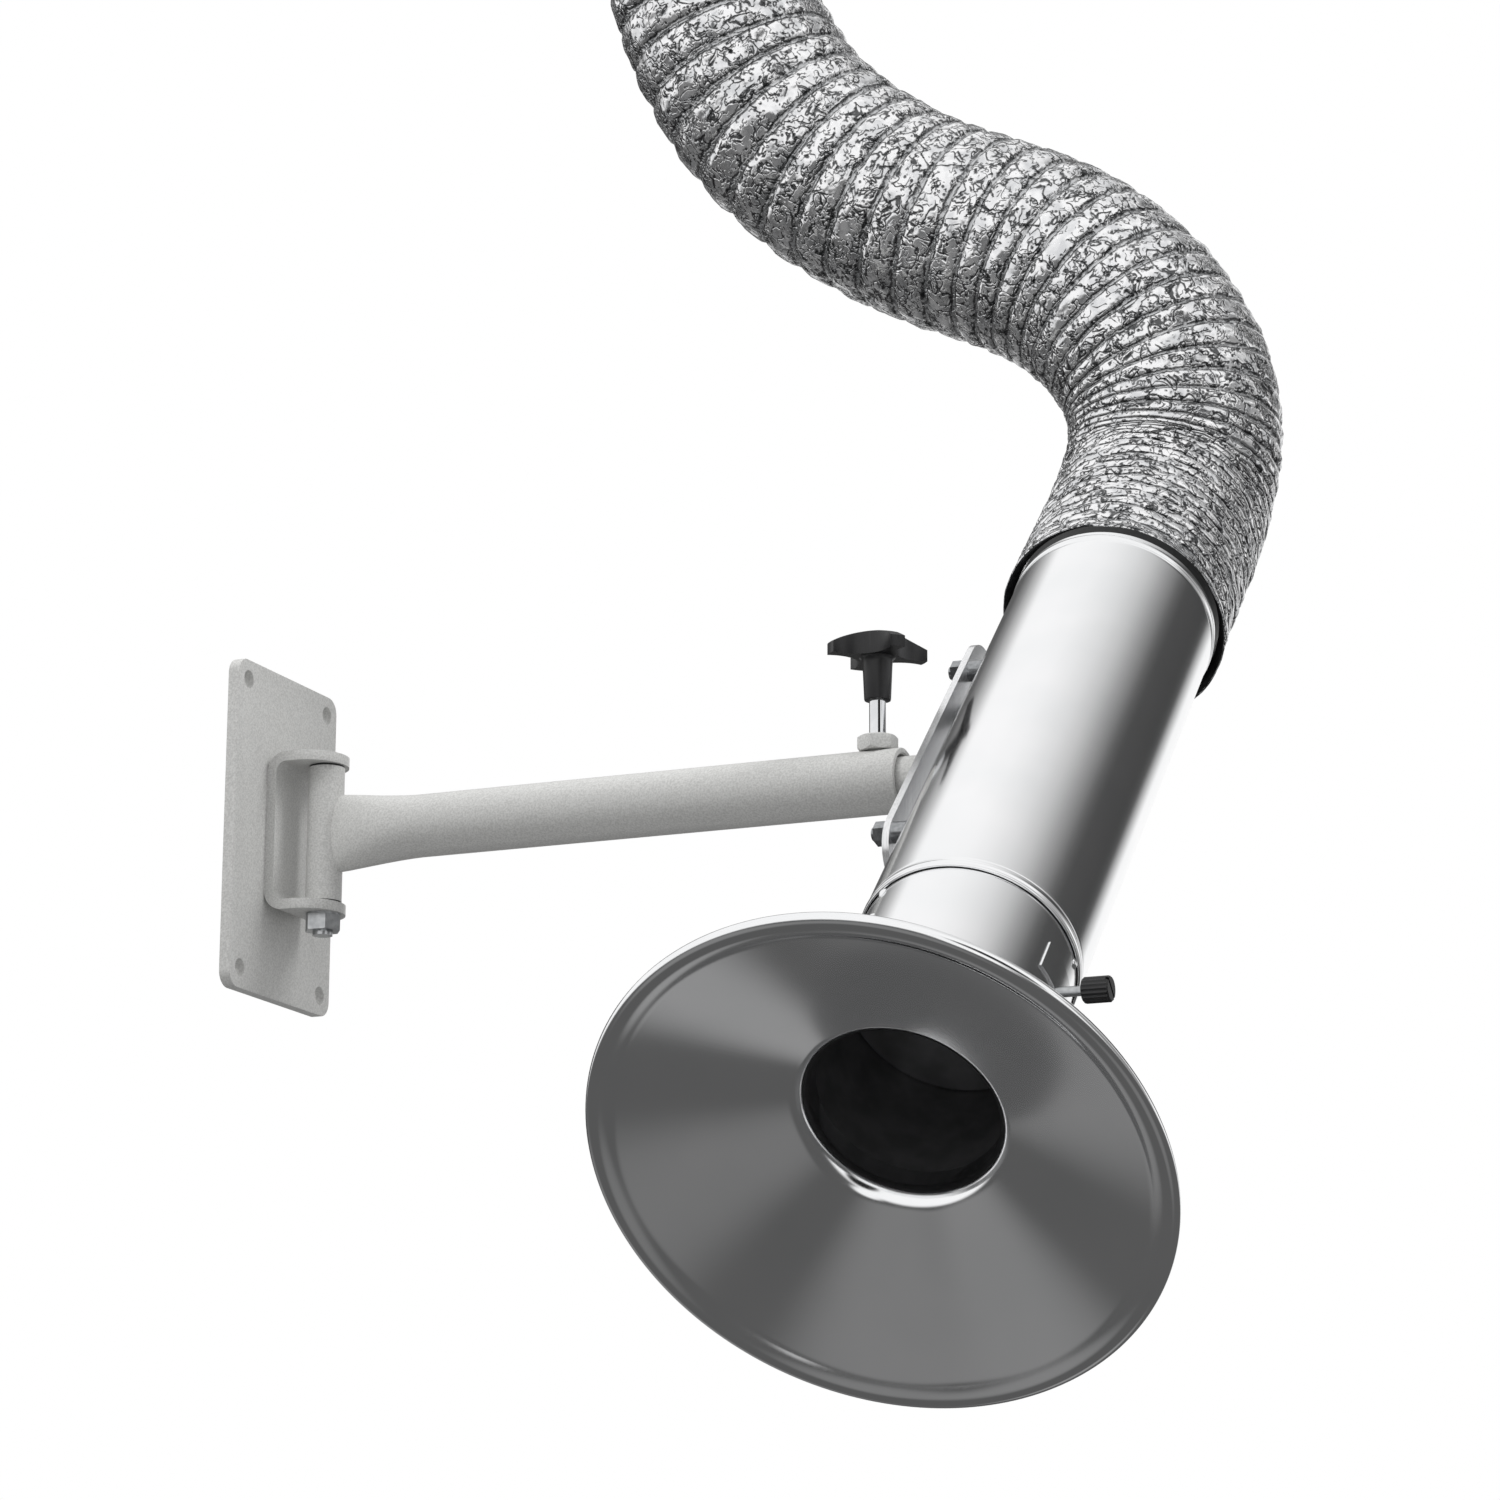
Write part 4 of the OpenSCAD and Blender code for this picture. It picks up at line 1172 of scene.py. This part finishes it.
def mirroredRoom(tree, s, way, rise):
    # what polished metal sees: grey below, white above, soft patches, and the boards over them
    ground = addNode(
        tree, "ShaderNodeMapRange",
        {"Value": rise, "From Min": s["lowFade"][0], "From Max": s["lowFade"][1]},
        interpolation_type="SMOOTHSTEP",
    )
    shown = addNode(
        tree, "ShaderNodeMix",
        {"Factor": ground.outputs["Result"], "A": colour(s["lowGrey"]), "B": (1, 1, 1, 1)},
        data_type="RGBA",
    )
    for patch in s["patches"]:
        dot = addNode(
            tree, "ShaderNodeVectorMath", {0: way, 1: wayTo(patch["azimuth"], patch["height"])},
            operation="DOT_PRODUCT",
        )
        inside = addNode(
            tree, "ShaderNodeMapRange",
            {
                "Value": dot.outputs["Value"],
                "From Min": math.cos(math.radians(patch["outer"])),
                "From Max": math.cos(math.radians(patch["inner"])),
            },
            interpolation_type="SMOOTHSTEP",
        )
        shown = addNode(
            tree, "ShaderNodeMix",
            {
                "Factor": inside.outputs["Result"], "A": shown.outputs["Result"],
                "B": colour(patch["grey"]),
            },
            data_type="RGBA",
        )
    toFront, toSide, toAxis = (
        addNode(tree, "ShaderNodeVectorMath", {0: way, 1: line}, operation="DOT_PRODUCT")
        for line in (*boardSides(), ductAxis)
    )
    around = addNode(
        tree, "ShaderNodeMath", {0: toSide.outputs["Value"], 1: toFront.outputs["Value"]},
        operation="ARCTAN2",
    )
    turn = addNode(
        tree, "ShaderNodeMapRange",
        {"Value": around.outputs["Value"], "From Min": -math.pi, "From Max": math.pi},
    )
    boards = addNode(tree, "ShaderNodeValToRGB", {"Fac": turn.outputs["Result"]})
    near = addNode(
        tree, "ShaderNodeMapRange",
        {"Value": toAxis.outputs["Value"], "From Min": s["boardFade"][0], "From Max": s["boardFade"][1]},
        interpolation_type="SMOOTHSTEP",
    )
    shown = addNode(
        tree, "ShaderNodeMix",
        {
            "Factor": near.outputs["Result"], "A": shown.outputs["Result"],
            "B": setRamp(boards, s["boards"]),
        },
        data_type="RGBA",
    )
    return shown.outputs["Result"]


def makeWorld(s):
    world = bpy.data.worlds.new("studio")
    bpy.context.scene.world = world
    world.use_nodes = True
    tree = world.node_tree
    tree.nodes.clear()
    way = addNode(tree, "ShaderNodeTexCoord").outputs["Generated"]
    rise = addNode(tree, "ShaderNodeSeparateXYZ", {"Vector": way}).outputs["Z"]
    lift = addNode(
        tree, "ShaderNodeMapRange",
        {
            "Value": rise, "From Min": s["diffuseFade"][0], "From Max": s["diffuseFade"][1],
            "To Min": s["lowLevel"], "To Max": s["diffuseLevel"],
        },
        interpolation_type="SMOOTHSTEP",
    )
    shown = mirroredRoom(tree, s, way, rise)
    # the camera sees plain white, polished metal the room, and all else a soft white light
    lightPath = addNode(tree, "ShaderNodeLightPath")
    white = addNode(tree, "ShaderNodeBackground", {"Color": (1, 1, 1, 1), "Strength": 1.0})
    soft = addNode(
        tree, "ShaderNodeBackground", {"Color": (1, 1, 1, 1), "Strength": lift.outputs["Result"]}
    )
    mirror = addNode(tree, "ShaderNodeBackground", {"Color": shown, "Strength": 1.0})
    glossy = addNode(
        tree, "ShaderNodeMixShader",
        {"Fac": lightPath.outputs["Is Glossy Ray"], 1: soft.outputs[0], 2: mirror.outputs[0]},
    )
    seen = addNode(
        tree, "ShaderNodeMixShader",
        {"Fac": lightPath.outputs["Is Camera Ray"], 1: glossy.outputs[0], 2: white.outputs[0]},
    )
    addNode(tree, "ShaderNodeOutputWorld", {"Surface": seen.outputs[0]})


def makeFloor(s):
    bpy.ops.object.select_all(action="DESELECT")
    bpy.ops.mesh.primitive_plane_add(size=s["floorSize"], location=(s["floorX"], 0, s["floorHeight"]))
    floor = bpy.context.object
    floor.name = "floor"
    applyPlace()
    material, tree, shader = newMaterial("paleFloor", Roughness=0.8)
    shader.inputs["Base Color"].default_value = colour("#f2f2f0")
    floor.data.materials.append(material)
    # the room's own soft light comes from below too, so the floor neither shines nor mirrors
    floor.visible_glossy = False
    floor.visible_diffuse = False


lamps = [
    {"name": "keyLight", "place": (-0.6, -1.6, 2.2), "aim": (0.3, 0, 0), "size": 1.2, "power": 33},
    {"name": "fillLight", "place": (1.7, 0.5, 1.5), "aim": (0.1, 0, 0), "size": 1.0, "power": 27},
]


def addSoftLight(s):
    data = bpy.data.lights.new(s["name"], "AREA")
    data.shape = "SQUARE"
    data.size = s["size"]
    data.energy = s["power"]
    lamp = bpy.data.objects.new(s["name"], data)
    bpy.context.scene.collection.objects.link(lamp)
    lamp.location = s["place"]
    lamp.rotation_euler = (Vector(s["aim"]) - lamp.location).to_track_quat("-Z", "Y").to_euler()
    lamp.visible_glossy = False


makeWorld(studioSet)
makeFloor(studioSet)
for lamp in lamps:
    addSoftLight(lamp)
bpy.context.scene.view_settings.view_transform = "Standard"
print("studio made")
